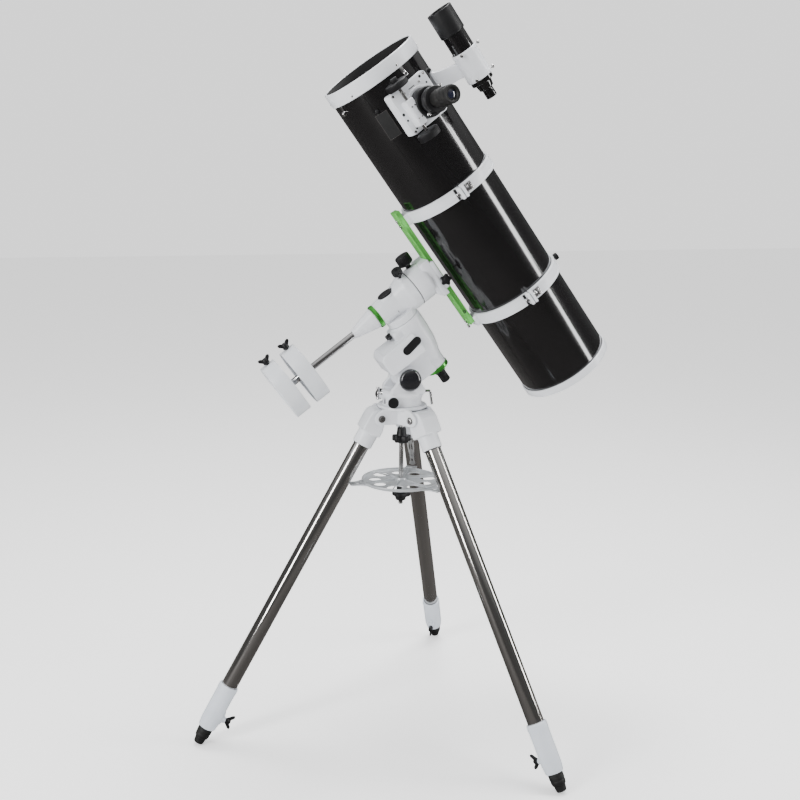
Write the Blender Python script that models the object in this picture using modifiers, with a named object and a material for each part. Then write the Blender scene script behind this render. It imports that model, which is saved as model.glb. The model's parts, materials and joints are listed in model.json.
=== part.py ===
"""Reflecting telescope on a German equatorial mount and a three-legged steel tripod, in metres."""

from math import atan2, cos, pi, radians, sin

import bmesh
import bpy
from mathutils import Matrix, Vector

# Overall layout: the origin is on the ground under the tripod's centre, and +Z is up.
# The tube points up towards -X at rest, and the mount's polar axis is parallel to it.
LATITUDE = radians(53.5)
AXES_CROSS = Vector((-0.0286, 0.0, 1.1081))
ALTITUDE_X = 0.006
ALTITUDE_Z = 0.925
GAP = 0.0003
BORE_GAP = 0.0004

# Tripod
FOOT_CIRCLE = 0.532
HINGE_RADIUS = 0.064
HINGE_HEIGHT = 0.829
LEG_HEADINGS = {"rear": radians(60), "front": radians(-60), "north": radians(180)}
HUB_TOP = 0.857
HUB_BOTTOM = 0.813
HUB_PLATE = 0.0065
HUB_RADIUS = 0.062
HUB_CORE = 0.042
EAR_INNER = 0.031
EAR_THICK = 0.009
EAR_ROUND = 0.0165
KNUCKLE = 0.0195
HINGE_PIN = 0.004
LEG_TUBE = 0.0203
LEG_WALL = 0.0014
SOCKET_WALL = 0.0050
SOCKET_END = 0.082
TUBE_START = 0.026
TUBE_END = 0.845
CLAMP_START = 0.778
CLAMP_END = 0.900
TUBE_PLAY = 0.0026
INNER_TUBE = LEG_TUBE - LEG_WALL - TUBE_PLAY
INNER_START = 0.400
TIP_RADIUS = INNER_TUBE + 0.0022
TIP_STEP = 0.012
LEG_SCREW_AT = 0.868
LEG_SCREW = 0.0035
WING_SPAN = 0.017

# Centre rod, spreader tray and their knobs
ROD = 0.00575
ROD_TOP = 0.867
ROD_BOTTOM = 0.595
HEAD_KNOB_Z = 0.767
HEAD_KNOB = 0.025
TRAY_Z = 0.6535
TRAY_THICK = 0.006
TRAY_RADIUS = 0.100
TRAY_ARM_END = 0.1345
TRAY_HOLE = 0.016
TRAY_HOLE_CIRCLE = 0.066
TRAY_KNOB_Z = 0.611
TRAY_KNOB = 0.026

# Azimuth base and its adjusters
BASE_RADIUS = 0.049
BASE_HEIGHT = 0.034
BASE_SHOULDER = 0.0535
YOKE_INNER = 0.0325
YOKE_OUTER = 0.0450
YOKE_ROUND = 0.031
PEG_X = -0.040
PEG = 0.005
PEG_HEIGHT = 0.020
AZIMUTH_SCREW_Z = 0.872
AZIMUTH_SCREW = 0.003
AZIMUTH_KNOB = 0.014
AZIMUTH_KNOB_FACE = 0.060
ALT_SCREW_Z = 0.886
ALT_SCREW = 0.004
ALT_TIP = 0.0009
SCREW_POINT = 0.0025
T_HANDLE_X = -0.0625
T_HANDLE = 0.016
LEVER_X = 0.076
LEVER_DROP = 0.036
ALT_PIN = 0.006
ALT_CAP = 0.028

# Polar (right ascension) housing, in the head frame: X down the polar axis, Z towards the tube
POLAR_START = 0.0480
POLAR_END = 0.1995
POLAR_RADIUS = 0.043
POLAR_TAIL = 0.0285
GEARBOX = ((0.073, 0.130), (-0.060, 0.030), (-0.113, -0.005))
ARM_HALF = YOKE_INNER - GAP
LUG_HALF = 0.004
LUG_REACH = 0.045
POLAR_RING = 0.0255
POLAR_RING_WIDE = 0.0062
POLAR_EYE = 0.0118
POLAR_EYE_END = 0.245
CLUTCH = 0.0065
POLAR_CLUTCH_X = 0.0600

# Declination housing, counterweight shaft and weights
DEC_TOP = 0.0640
DEC_HEAD = 0.0470
DEC_WAIST = 0.0340
DEC_BOTTOM = -0.0490
NECK = 0.0400
SCOPE_BOSS = 0.0260
POLAR_CAP = 0.0215
DEC_RING = 0.0270
DEC_RING_WIDE = 0.0055
CONE_BASE = 0.0265
CONE_TIP = 0.0115
CONE_END = -0.122
SHAFT = 0.0084
SHAFT_END = -0.346
WEIGHT = 0.074
WEIGHT_THICK = 0.040
WEIGHT_AT = {"upper": -0.2735, "lower": -0.3330}
WEIGHT_SCREW = 0.004
WEIGHT_KNOB_REACH = 0.092

# Saddle and its clamp knobs
SADDLE_TOP = 0.1275
SADDLE_SPAN = (-0.044, 0.057)
SADDLE_HALF = 0.037
JAW_TOP = 0.1365
BIG_KNOB = 0.019
BIG_KNOB_AT = (-0.082, 0.086)
STAR_KNOB = 0.015
STAR_KNOB_AT = (0.020, 0.1335)

# Optical tube, in the head frame
TUBE_CENTRE = 0.277
TUBE_RADIUS = 0.1175
TUBE_WALL = 0.0015
TUBE_FRONT = -0.490
TUBE_BACK = 0.426
END_RING = 0.1215
FRONT_RING_WIDE = 0.034
BACK_RING_WIDE = 0.020
MIRROR = 0.100
BAR_HALF = 0.0222
BAR_SPAN = (-0.177, 0.163)
BAR_BOTTOM = 0.1280
BAR_THICK = 0.0140
RING_OUTER = 0.1248
RING_WIDE = 0.030
RING_CENTRES = {"upper": -0.146, "lower": 0.1645}
SPLIT = radians(-5)
SPLIT_HALF_GAP = 0.0012
RING_LUG_REACH = 0.1430
RING_LUG_THICK = 0.0085
RING_HINGE = 0.1320
RING_KNUCKLE = 0.0055
RING_PIN = 0.0022

# Spider, secondary mirror, focuser, eyepiece and finder
FOCUS_X = -0.3615
FOCUS_ANGLE = radians(11.5)
VANE_X = -0.405
SECONDARY = 0.027
PLATE = ((-0.0605, 0.0445), (-0.062, 0.047), (0.095, 0.130))
COLLAR = 0.035
COLLAR_TOP = 0.165
DRAW = 0.0255
DRAW_BORE = 0.0162
DRAW_TOP = 0.195
DRAW_FLANGE = 0.030
FOCUS_SHAFT_AT = (-0.040, 0.149)
FOCUS_SHAFT = 0.004
FOCUS_KNOB_IN = 0.048
FOCUS_KNOB_OUT = 0.076
FINE_KNOB = 0.008
FINE_KNOB_OUT = 0.089
FOCUS_KNOB = 0.027
FOCUS_KNOB_WIDE = 0.012
EYEPIECE = 0.021
EYEPIECE_TOP = 0.265
FINDER_ANGLE = radians(60)
FINDER_REACH = 0.208
FINDER = 0.0272
FINDER_HOOD = 0.0305
FINDER_SPAN = (-0.503, -0.272)
BRACKET = 0.0312
BRACKET_SPAN = (-0.399, -0.3255)


def clear_scene():
    """Removes the objects of the starting scene."""
    for old in list(bpy.data.objects):
        bpy.data.objects.remove(old, do_unlink=True)


def collection(name, hidden):
    """A new collection in the scene. A hidden one holds cutters."""
    made = bpy.data.collections.new(name)
    bpy.context.scene.collection.children.link(made)
    made.hide_render = hidden
    return made


clear_scene()
TELESCOPE = collection("telescope_on_tripod", False)
CUTTERS = collection("cutters", True)


def paint(name, colour, metallic, roughness):
    """A plain Principled material."""
    material = bpy.data.materials.new(name)
    material.use_nodes = True
    shader = material.node_tree.nodes["Principled BSDF"]
    shader.inputs["Base Color"].default_value = (*colour, 1.0)
    shader.inputs["Metallic"].default_value = metallic
    shader.inputs["Roughness"].default_value = roughness
    return material


FINISH = {
    "cast_white": ((0.80, 0.81, 0.83), 0.0, 0.40),
    "cast_grey": ((0.50, 0.54, 0.60), 0.0, 0.45),
    "steel": ((0.62, 0.61, 0.60), 1.0, 0.22),
    "chrome": ((0.75, 0.75, 0.76), 1.0, 0.12),
    "black": ((0.02, 0.02, 0.022), 0.0, 0.40),
    "gloss_black": ((0.012, 0.012, 0.014), 0.0, 0.12),
    "green": ((0.08, 0.42, 0.10), 0.8, 0.30),
    "weight_paint": ((0.62, 0.63, 0.64), 0.2, 0.45),
    "mirror": ((0.90, 0.90, 0.92), 1.0, 0.04),
}


def frame(name, parent, location, rotation=(0.0, 0.0, 0.0)):
    """An empty that carries the pieces of one moving group."""
    empty = bpy.data.objects.new(name, None)
    TELESCOPE.objects.link(empty)
    empty.empty_display_size = 0.02
    empty.parent = parent
    empty.location = location
    empty.rotation_euler = rotation
    return empty


def place(name, mesh, parent, location=(0, 0, 0), rotation=(0, 0, 0), finish=None):
    """An object from a mesh: a piece with a finish, or a cutter without one."""
    made = bpy.data.objects.new(name, mesh)
    made.parent = parent
    made.location = location
    made.rotation_euler = rotation
    if finish is None:
        CUTTERS.objects.link(made)
        made.hide_render = True
        made.display_type = "WIRE"
        return made
    TELESCOPE.objects.link(made)
    look = paint(name, *FINISH[finish])
    mesh.materials.clear()
    mesh.materials.append(look)
    return made


def box(name, x, y, z):
    """A box mesh between (low, high) pairs."""
    mesh = bpy.data.meshes.new(name)
    body = bmesh.new()
    size = Matrix.Diagonal((x[1] - x[0], y[1] - y[0], z[1] - z[0], 1))
    middle = Matrix.Translation((sum(x) / 2, sum(y) / 2, sum(z) / 2))
    bmesh.ops.create_cube(body, size=1.0, matrix=middle @ size)
    body.to_mesh(mesh)
    body.free()
    return mesh


def prism(name, outline, low, high):
    """A flat outline in local XZ, drawn through from y = low to y = high."""
    mesh = bpy.data.meshes.new(name)
    body = bmesh.new()
    face = body.faces.new([body.verts.new((x, low, z)) for x, z in outline])
    grown = bmesh.ops.extrude_face_region(body, geom=[face])
    moved = [item for item in grown["geom"] if isinstance(item, bmesh.types.BMVert)]
    bmesh.ops.translate(body, verts=moved, vec=(0, high - low, 0))
    bmesh.ops.recalc_face_normals(body, faces=body.faces)
    body.to_mesh(mesh)
    body.free()
    return mesh


def turn(piece, steps):
    """Turns the piece's profile about its local Z, welded where it meets the axis."""
    screw = piece.modifiers.new("turned", "SCREW")
    screw.steps = steps
    screw.render_steps = steps
    screw.use_merge_vertices = True
    screw.merge_threshold = 0.00001
    screw.use_smooth_shade = True
    return piece


def profile(name, points, ring=False):
    """A profile of (radius, height) points, from the top down its outer side."""
    mesh = bpy.data.meshes.new(name)
    edges = [(i, i + 1) for i in range(len(points) - 1)]
    if ring:
        edges.append((len(points) - 1, 0))
    mesh.from_pydata([(r, 0, z) for r, z in points], edges, [])
    return mesh


def turned(name, points, parent, location=(0, 0, 0), rotation=(0, 0, 0), finish=None, steps=16, ring=False):
    """A turned piece or cutter."""
    return turn(place(name, profile(name, points, ring), parent, location, rotation, finish), steps)


def rod_points(radius, low, high):
    """The profile of a plain solid cylinder."""
    return [(0, high), (radius, high), (radius, low), (0, low)]


def combine(piece, other, operation):
    """Adds an exact Boolean of a helper object to the piece."""
    step = piece.modifiers.new(other.name, "BOOLEAN")
    step.operation = operation
    step.solver = "EXACT"
    step.object = other
    return piece


def add(piece, other):
    return combine(piece, other, "UNION")


def cut(piece, other):
    return combine(piece, other, "DIFFERENCE")


def arc(centre, radius, start, end, count):
    """Points of an arc in the plane, from one angle to the other, both counted from +X."""
    return [
        (
            centre[0] + radius * cos(start + (end - start) * i / count),
            centre[1] + radius * sin(start + (end - start) * i / count),
        )
        for i in range(count + 1)
    ]


def star(radius, dip, lobes):
    """The outline of a lobed hand knob."""
    count = lobes * 4
    outline = []
    for i in range(count):
        reach = radius if i % 4 in (0, 1) else dip
        outline.append((reach * cos(2 * pi * i / count), reach * sin(2 * pi * i / count)))
    return outline


ALONG_X = (0.0, pi / 2, 0.0)
ALONG_Y = (-pi / 2, 0.0, 0.0)

tripod = frame("tripod_frame", None, (0, 0, 0))

# Tripod hub: a cast crown with a round seat on top, three pairs of ears and a peg for azimuth.
hub = turned(
    "tripod_hub",
    [
        (0, HUB_TOP),
        (HUB_RADIUS - 0.003, HUB_TOP),
        (HUB_RADIUS, HUB_TOP - 0.003),
        (HUB_RADIUS, HUB_TOP - HUB_PLATE),
        (HUB_CORE, HUB_TOP - HUB_PLATE),
        (HUB_CORE, HUB_BOTTOM),
        (0, HUB_BOTTOM),
    ],
    tripod,
    finish="cast_white",
    steps=20,
)
splay = atan2(FOOT_CIRCLE - HINGE_RADIUS, HINGE_HEIGHT)
ear_top = HUB_TOP - HUB_PLATE + 0.001
ear_outline = [(0.018, ear_top), (0.018, HUB_BOTTOM)]
ear_outline += arc((HINGE_RADIUS, HINGE_HEIGHT), EAR_ROUND, radians(-95), radians(60), 8)
ear_outline.append((HUB_RADIUS, ear_top))
for leg, heading in LEG_HEADINGS.items():
    for side in (-1, 1):
        inner = side * EAR_INNER
        outer = side * (EAR_INNER + EAR_THICK)
        ear = place(
            f"ear_{leg}_{side}",
            prism("ear", ear_outline, min(inner, outer), max(inner, outer)),
            tripod,
            rotation=(0, 0, heading),
        )
        add(hub, ear)
for leg, heading in LEG_HEADINGS.items():
    at = (HINGE_RADIUS * cos(heading), HINGE_RADIUS * sin(heading), HINGE_HEIGHT)
    cut(hub, turned(
        f"hub_pin_hole_{leg}", rod_points(HINGE_PIN + BORE_GAP, -0.06, 0.06), tripod, at,
        (-pi / 2, 0, heading), steps=10))
cut(hub, turned("hub_rod_hole", rod_points(ROD + BORE_GAP, 0.80, 0.90), tripod, steps=10))
peg_low = HUB_TOP - 0.003
add(hub, turned("peg", rod_points(PEG, peg_low, HUB_TOP + PEG_HEIGHT), tripod, (PEG_X, 0, 0), steps=10))

# Legs: a cast knuckle, a steel outer tube, a cast clamp, and an inner tube with its tip.
tilt = splay
leg_length = (HINGE_HEIGHT - TIP_STEP * sin(tilt)) / cos(tilt)
socket = LEG_TUBE + SOCKET_WALL
knuckle_outline = arc((0, 0), KNUCKLE, radians(200), radians(60), 8)
knuckle_outline += [
    (0.030, 0.0065),
    (0.0335, -0.004),
    (socket + 0.002, -0.034),
    (socket - 0.002, -0.050),
    (-socket + 0.002, -0.050),
    (-socket + 0.001, -0.030),
]
for leg, heading in LEG_HEADINGS.items():
    at = (HINGE_RADIUS * cos(heading), HINGE_RADIUS * sin(heading), HINGE_HEIGHT)
    turned(
        f"leg_bolt_{leg}",
        [
            (0, 0.0465), (0.007, 0.0465), (0.008, 0.0450), (0.008, 0.0404), (HINGE_PIN, 0.0404),
            (HINGE_PIN, -0.0404), (0.0075, -0.0404), (0.0075, -0.0460), (0, -0.0460),
        ],
        tripod, at, (-pi / 2, 0, heading), "steel", 10)
    leg_frame = frame(f"leg_frame_{leg}", tripod, at, (0, -tilt, heading))
    half = EAR_INNER - GAP
    casting = place(
        f"leg_casting_{leg}", prism("knuckle", knuckle_outline, -half, half), leg_frame,
        finish="cast_white")
    add(casting, turned(
        f"socket_{leg}",
        [(0, -0.022), (socket, -0.030), (socket - 0.0005, -SOCKET_END + 0.003),
         (socket - 0.002, -SOCKET_END), (0, -SOCKET_END)],
        leg_frame, steps=18))
    cut(casting, turned(
        f"socket_bore_{leg}", rod_points(LEG_TUBE + GAP, -0.2, -TUBE_START + GAP), leg_frame, steps=18))
    cut(casting, turned(
        f"knuckle_hole_{leg}", rod_points(HINGE_PIN + BORE_GAP, -0.05, 0.05), leg_frame,
        rotation=ALONG_Y, steps=10))
    turned(
        f"leg_tube_{leg}",
        [(LEG_TUBE - LEG_WALL, -TUBE_START), (LEG_TUBE, -TUBE_START), (LEG_TUBE, -TUBE_END),
         (LEG_TUBE - LEG_WALL, -TUBE_END)],
        leg_frame, finish="steel", steps=18, ring=True)
    clamp = turned(
        f"leg_clamp_{leg}",
        [
            (LEG_TUBE + GAP, -CLAMP_START), (socket - 0.002, -CLAMP_START),
            (socket, -CLAMP_START - 0.003), (socket - 0.001, -CLAMP_END + 0.004),
            (socket - 0.003, -CLAMP_END), (INNER_TUBE + GAP, -CLAMP_END),
            (INNER_TUBE + GAP, -TUBE_END - GAP), (LEG_TUBE + GAP, -TUBE_END - GAP),
        ],
        leg_frame, finish="cast_grey", steps=18, ring=True)
    screw_at = (0, 0, -LEG_SCREW_AT)
    add(clamp, turned(
        f"screw_boss_{leg}", rod_points(0.0085, 0.0185, 0.0345), leg_frame, screw_at,
        (0, -pi / 2, 0), steps=10))
    cut(clamp, turned(
        f"screw_hole_{leg}", rod_points(LEG_SCREW + BORE_GAP, 0.005, 0.05), leg_frame, screw_at,
        (0, -pi / 2, 0), steps=10))
    screw_frame = frame(f"leg_screw_frame_{leg}", leg_frame, screw_at, (0, -pi / 2, 0))
    wing = turned(
        f"leg_screw_{leg}",
        [(0, 0.050), (0.006, 0.050), (0.007, 0.0355), (LEG_SCREW, 0.0352),
         (LEG_SCREW, INNER_TUBE + 2 * GAP), (0, INNER_TUBE + 2 * GAP)],
        screw_frame, finish="black", steps=10)
    wing_outline = [(-WING_SPAN, 0.056), (-WING_SPAN, 0.050), (-0.006, 0.0385), (0.006, 0.0385),
                    (WING_SPAN, 0.050), (WING_SPAN, 0.056), (0, 0.048)]
    add(wing, place(f"wings_{leg}", prism("wings", wing_outline, -0.0022, 0.0022), screw_frame))
    foot_frame = frame(f"foot_frame_{leg}", leg_frame, (0, 0, 0))
    turned(
        f"leg_foot_{leg}",
        [
            (0, -INNER_START), (INNER_TUBE, -INNER_START), (INNER_TUBE, -CLAMP_END - 0.003),
            (TIP_RADIUS, -CLAMP_END - 0.003), (TIP_RADIUS, -CLAMP_END - 0.022),
            (TIP_RADIUS - 0.004, -CLAMP_END - 0.030), (TIP_STEP + 0.001, -leg_length + 0.006),
            (TIP_STEP, -leg_length), (0, -leg_length),
        ],
        foot_frame, finish="steel", steps=18)

# Centre rod: screws up through the hub into the mount's base, turned by its own head knob.
rod = turned(
    "centre_rod",
    [
        (0, ROD_TOP), (ROD, ROD_TOP), (ROD, HEAD_KNOB_Z + 0.030), (0.011, HEAD_KNOB_Z + 0.028),
        (0.013, HEAD_KNOB_Z + 0.008), (0.013, HEAD_KNOB_Z - 0.008), (0.010, HEAD_KNOB_Z - 0.012),
        (ROD, HEAD_KNOB_Z - 0.012), (ROD, ROD_BOTTOM), (0, ROD_BOTTOM),
    ],
    tripod, finish="steel", steps=10)
add(rod, place(
    "head_star", prism("star", star(HEAD_KNOB, HEAD_KNOB - 0.006, 5), -0.008, 0.008), tripod,
    (0, 0, HEAD_KNOB_Z), (pi / 2, 0, 0)))

# Spreader tray: a pressed disc with three arms that brace the legs, and its knob underneath.
tray = turned(
    "spreader_tray",
    [(0, TRAY_Z + 0.012), (0.013, TRAY_Z + 0.012), (0.014, TRAY_Z + TRAY_THICK),
     (TRAY_RADIUS - 0.002, TRAY_Z + TRAY_THICK), (TRAY_RADIUS - 0.002, TRAY_Z + 0.009),
     (TRAY_RADIUS, TRAY_Z + 0.009), (TRAY_RADIUS, TRAY_Z), (0, TRAY_Z)],
    tripod, finish="cast_grey", steps=20)
arm_outline = [(0.08, -0.020), (TRAY_ARM_END, -0.013), (TRAY_ARM_END, 0.013), (0.08, 0.020)]
for leg, heading in LEG_HEADINGS.items():
    add(tray, place(
        f"tray_arm_{leg}", prism("arm", arm_outline, TRAY_Z, TRAY_Z + TRAY_THICK), tripod,
        rotation=(pi / 2, 0, heading)))
    for offset in (radians(20), radians(60), radians(100)):
        turned_at = heading + offset
        hole_at = (TRAY_HOLE_CIRCLE * cos(turned_at), TRAY_HOLE_CIRCLE * sin(turned_at), TRAY_Z)
        cut(tray, turned(
            f"tray_hole_{leg}_{round(offset * 10)}", rod_points(TRAY_HOLE, -0.01, 0.02), tripod,
            hole_at, steps=10))
cut(tray, turned("tray_rod_hole", rod_points(ROD + BORE_GAP, 0.6, 0.7), tripod, steps=10))
tray_knob = turned(
    "tray_knob",
    [
        (ROD + BORE_GAP, TRAY_Z - GAP), (0.012, TRAY_Z - GAP), (0.010, TRAY_KNOB_Z + 0.019),
        (0.014, TRAY_KNOB_Z + 0.015), (0.014, TRAY_KNOB_Z - 0.004), (ROD + BORE_GAP, TRAY_KNOB_Z - 0.006),
    ],
    tripod, finish="black", steps=10, ring=True)
tray_star = place(
    "tray_star", prism("star", star(TRAY_KNOB, TRAY_KNOB - 0.007, 3), -0.006, 0.006), tripod,
    (0, 0, TRAY_KNOB_Z + 0.009), (pi / 2, 0, 0))
cut(tray_star, turned("tray_star_hole", rod_points(0.010, 0.6, 0.65), tripod, steps=10))
add(tray_knob, tray_star)

# Azimuth base: a turned casting with a fork for the polar housing, and bosses for its screws.
base_low = HUB_TOP + GAP
base_top = base_low + BASE_HEIGHT
base = turned(
    "azimuth_base",
    [
        (0, base_top + 0.004), (BASE_RADIUS - 0.004, base_top + 0.004), (BASE_RADIUS, base_top + 0.002),
        (BASE_SHOULDER, base_top - 0.004), (BASE_SHOULDER, base_top - 0.010),
        (BASE_RADIUS, base_top - 0.014), (BASE_RADIUS, base_low), (0, base_low),
    ],
    tripod, finish="cast_white", steps=20)
yoke = [(-0.042, 0.890), (0.046, 0.890)]
yoke += arc((ALTITUDE_X, ALTITUDE_Z), YOKE_ROUND, radians(-10), radians(190), 12)
for side in (-1, 1):
    low, high = sorted((side * (YOKE_INNER - 0.004), side * YOKE_OUTER))
    add(base, place(f"yoke_{side}", prism("yoke", yoke, low, high), tripod))
    add(base, turned(
        f"knob_boss_{side}", rod_points(0.0095, 0.020, 0.0455), tripod,
        (PEG_X, 0, AZIMUTH_SCREW_Z), (-side * pi / 2, 0, 0), steps=10))
cut(base, place("yoke_gap", box("gap", (-0.060, 0.060), (-YOKE_INNER, YOKE_INNER), (0.8956, 0.99)), tripod))
cut(base, place("lug_room", box("room", (-0.018, 0.030), (-0.014, 0.014), (0.8745, 0.95)), tripod))
cut(base, place("peg_room", box("room", (-0.0475, -0.0325), (-0.0125, 0.0125), (0.85, 0.8785)), tripod))
cut(base, turned("base_rod_hole", rod_points(ROD + BORE_GAP, 0.85, ROD_TOP + 0.002), tripod, steps=10))
cut(base, turned(
    "alt_screw_hole", rod_points(ALT_SCREW + BORE_GAP, -0.08, 0.08), tripod,
    (0, 0, ALT_SCREW_Z), ALONG_X, steps=10))
cut(base, turned(
    "azimuth_screw_hole", rod_points(AZIMUTH_SCREW + BORE_GAP, -0.08, 0.08), tripod,
    (PEG_X, 0, AZIMUTH_SCREW_Z), ALONG_Y, steps=10))
cut(base, turned(
    "alt_pin_hole", rod_points(ALT_PIN + BORE_GAP, -0.08, 0.08), tripod,
    (ALTITUDE_X, 0, ALTITUDE_Z), ALONG_Y, steps=10))

# Azimuth adjusters: two opposed hand screws that push the peg from either side.
for word, side in (("front", -1), ("rear", 1)):
    turned(
        f"azimuth_knob_{word}",
        [
            (0, AZIMUTH_KNOB_FACE), (AZIMUTH_KNOB - 0.003, AZIMUTH_KNOB_FACE),
            (AZIMUTH_KNOB, AZIMUTH_KNOB_FACE - 0.002), (AZIMUTH_KNOB, 0.0545), (0.006, 0.0538),
            (AZIMUTH_SCREW, 0.0538), (AZIMUTH_SCREW, PEG + GAP), (0, PEG + GAP),
        ],
        tripod, (PEG_X, 0, AZIMUTH_SCREW_Z), (-side * pi / 2, 0, 0), "black", 12)

# Altitude adjusters: a T-screw on the north side and a bent lever screw on the south side.
north_tip = LUG_HALF - ALTITUDE_X + GAP
t_screw = turned(
    "altitude_t_screw",
    [
        (0, -T_HANDLE_X + 0.004), (0.0055, -T_HANDLE_X + 0.003), (0.0055, -T_HANDLE_X - 0.004),
        (ALT_SCREW, -T_HANDLE_X - 0.004), (ALT_SCREW, north_tip + SCREW_POINT), (ALT_TIP, north_tip),
        (0, north_tip),
    ],
    tripod, (0, 0, ALT_SCREW_Z), (0, -pi / 2, 0), "chrome", 10)
add(t_screw, turned(
    "t_bar",
    [(0, T_HANDLE), (0.004, T_HANDLE), (0.0045, T_HANDLE - 0.003), (0.0032, T_HANDLE - 0.006),
     (0.0032, 0.006 - T_HANDLE), (0.0045, 0.003 - T_HANDLE), (0.004, -T_HANDLE), (0, -T_HANDLE)],
    tripod, (T_HANDLE_X, 0, ALT_SCREW_Z), steps=10))
south_tip = LUG_HALF + ALTITUDE_X + GAP
lever = turned(
    "altitude_lever_screw",
    [(0, LEVER_X + 0.003), (0.0032, LEVER_X), (0.0032, 0.060), (ALT_SCREW, 0.058),
     (ALT_SCREW, south_tip + SCREW_POINT), (ALT_TIP, south_tip), (0, south_tip)],
    tripod, (0, 0, ALT_SCREW_Z), ALONG_X, "steel", 10)
add(lever, turned(
    "lever_arm", rod_points(0.0034, -LEVER_DROP, 0.002), tripod, (LEVER_X - 0.003, 0, ALT_SCREW_Z),
    (0, radians(-8), 0), steps=8))

# Altitude pin: the cross axle, with a big glossy cap in front and a nut behind.
turned(
    "altitude_pin",
    [
        (0, 0.0600), (0.012, 0.0590), (0.021, 0.0565), (0.0265, 0.0515), (ALT_CAP, 0.0453),
        (ALT_PIN, 0.0453), (ALT_PIN, -0.0453), (0.013, -0.0453), (0.0125, -0.0530), (0, -0.0540),
    ],
    tripod, (ALTITUDE_X, 0, ALTITUDE_Z), (pi / 2, 0, 0), "gloss_black", 18)

# Head frame: everything above the altitude pin is placed from the crossing of the two axes.
head = frame("head_frame", tripod, AXES_CROSS, (0, LATITUDE, 0))
drop_x = ALTITUDE_X - AXES_CROSS.x
drop_z = ALTITUDE_Z - AXES_CROSS.z
PIVOT = (drop_x * cos(LATITUDE) - drop_z * sin(LATITUDE), drop_x * sin(LATITUDE) + drop_z * cos(LATITUDE))
down = atan2(-cos(LATITUDE), sin(LATITUDE))

# Polar housing: the body that holds the polar axle, the motor box and the altitude arm.
polar = turned(
    "polar_housing",
    [
        (0, -POLAR_START), (POLAR_RADIUS - 0.002, -POLAR_START), (POLAR_RADIUS, -POLAR_START - 0.002),
        (POLAR_RADIUS, -0.085), (0.039, -0.128), (0.0315, -0.158), (POLAR_TAIL, -0.170),
        (POLAR_TAIL, -POLAR_END), (0, -POLAR_END),
    ],
    head, (0, 0, 0), (0, -pi / 2, 0), "cast_white", 20)
gear_x, gear_y, gear_z = GEARBOX
gear_outline = [
    (gear_x[0], gear_z[1]), (gear_x[0], gear_z[0] + 0.010), (gear_x[0] + 0.010, gear_z[0]),
    (gear_x[1] - 0.004, gear_z[0]), (gear_x[1], gear_z[0] + 0.004), (gear_x[1], gear_z[1]),
]
gear_case = place("gear_case", prism("case", gear_outline, *gear_y), head)
bevel = gear_case.modifiers.new("edges", "BEVEL")
bevel.width = 0.004
bevel.segments = 2
bevel.limit_method = "ANGLE"
bevel.angle_limit = radians(50)
add(polar, gear_case)
arm_outline = [(0.092, -0.010), (0.092, -0.060), (PIVOT[0] - 0.030, PIVOT[1] + 0.004)]
arm_outline += arc(PIVOT, 0.0285, radians(190), radians(350), 10)
arm_outline += [(POLAR_END - 0.003, -0.062), (POLAR_END - 0.010, -0.010)]
add(polar, place("altitude_arm", prism("arm", arm_outline, -ARM_HALF, ARM_HALF), head))
lug = place(
    "altitude_lug", box("lug", (0.0, LUG_REACH), (-0.012, 0.012), (-LUG_HALF, LUG_HALF)), head,
    (PIVOT[0], 0, PIVOT[1]), (0, -down, 0))
add(polar, lug)
cut(polar, turned(
    "arm_hole", rod_points(ALT_PIN + BORE_GAP, -0.08, 0.08), head, (PIVOT[0], 0, PIVOT[1]), ALONG_Y, steps=10))
cut(polar, turned(
    "polar_clutch_hole", rod_points(0.0035, 0.030, 0.060), head, (POLAR_CLUTCH_X, 0, 0), (pi, 0, 0), steps=8))

# Polar clutch: a small lock handle under the front of the polar housing.
polar_clutch = turned(
    "polar_clutch",
    [(0, 0.063), (CLUTCH, 0.062), (CLUTCH + 0.001, 0.050), (0.005, 0.0436), (0.003, 0.0436),
     (0.003, 0.0308), (0, 0.0308)],
    head, (POLAR_CLUTCH_X, 0, 0), (pi, 0, 0), "black", 10)
add(polar_clutch, place(
    "polar_clutch_handle", box("handle", (-0.004, 0.004), (0.0, 0.020), (0.0515, 0.0605)), head,
    (POLAR_CLUTCH_X, 0, 0), (pi, 0, 0)))

# Polar setting circle and the eyepiece of the polar scope, at the tail of the housing.
turned(
    "polar_ring",
    [
        (0, POLAR_RING_WIDE / 2), (POLAR_RING - 0.001, POLAR_RING_WIDE / 2), (POLAR_RING, 0.002),
        (POLAR_RING - 0.0012, 0), (POLAR_RING, -0.002), (POLAR_RING - 0.001, -POLAR_RING_WIDE / 2),
        (0, -POLAR_RING_WIDE / 2),
    ],
    head, (POLAR_END + GAP + POLAR_RING_WIDE / 2, 0, 0), (0, pi / 2, 0), "green", 20)
eye_start = POLAR_END + 2 * GAP + POLAR_RING_WIDE
turned(
    "polar_eyepiece",
    [
        (0, POLAR_EYE_END - 0.004), (POLAR_EYE - 0.004, POLAR_EYE_END), (POLAR_EYE, POLAR_EYE_END - 0.001),
        (POLAR_EYE, 0.230), (POLAR_EYE - 0.001, 0.229), (POLAR_EYE, 0.228), (POLAR_EYE, 0.218),
        (0.0145, 0.216), (0.0145, eye_start), (0, eye_start),
    ],
    head, (0, 0, 0), (0, pi / 2, 0), "black", 16)

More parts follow.
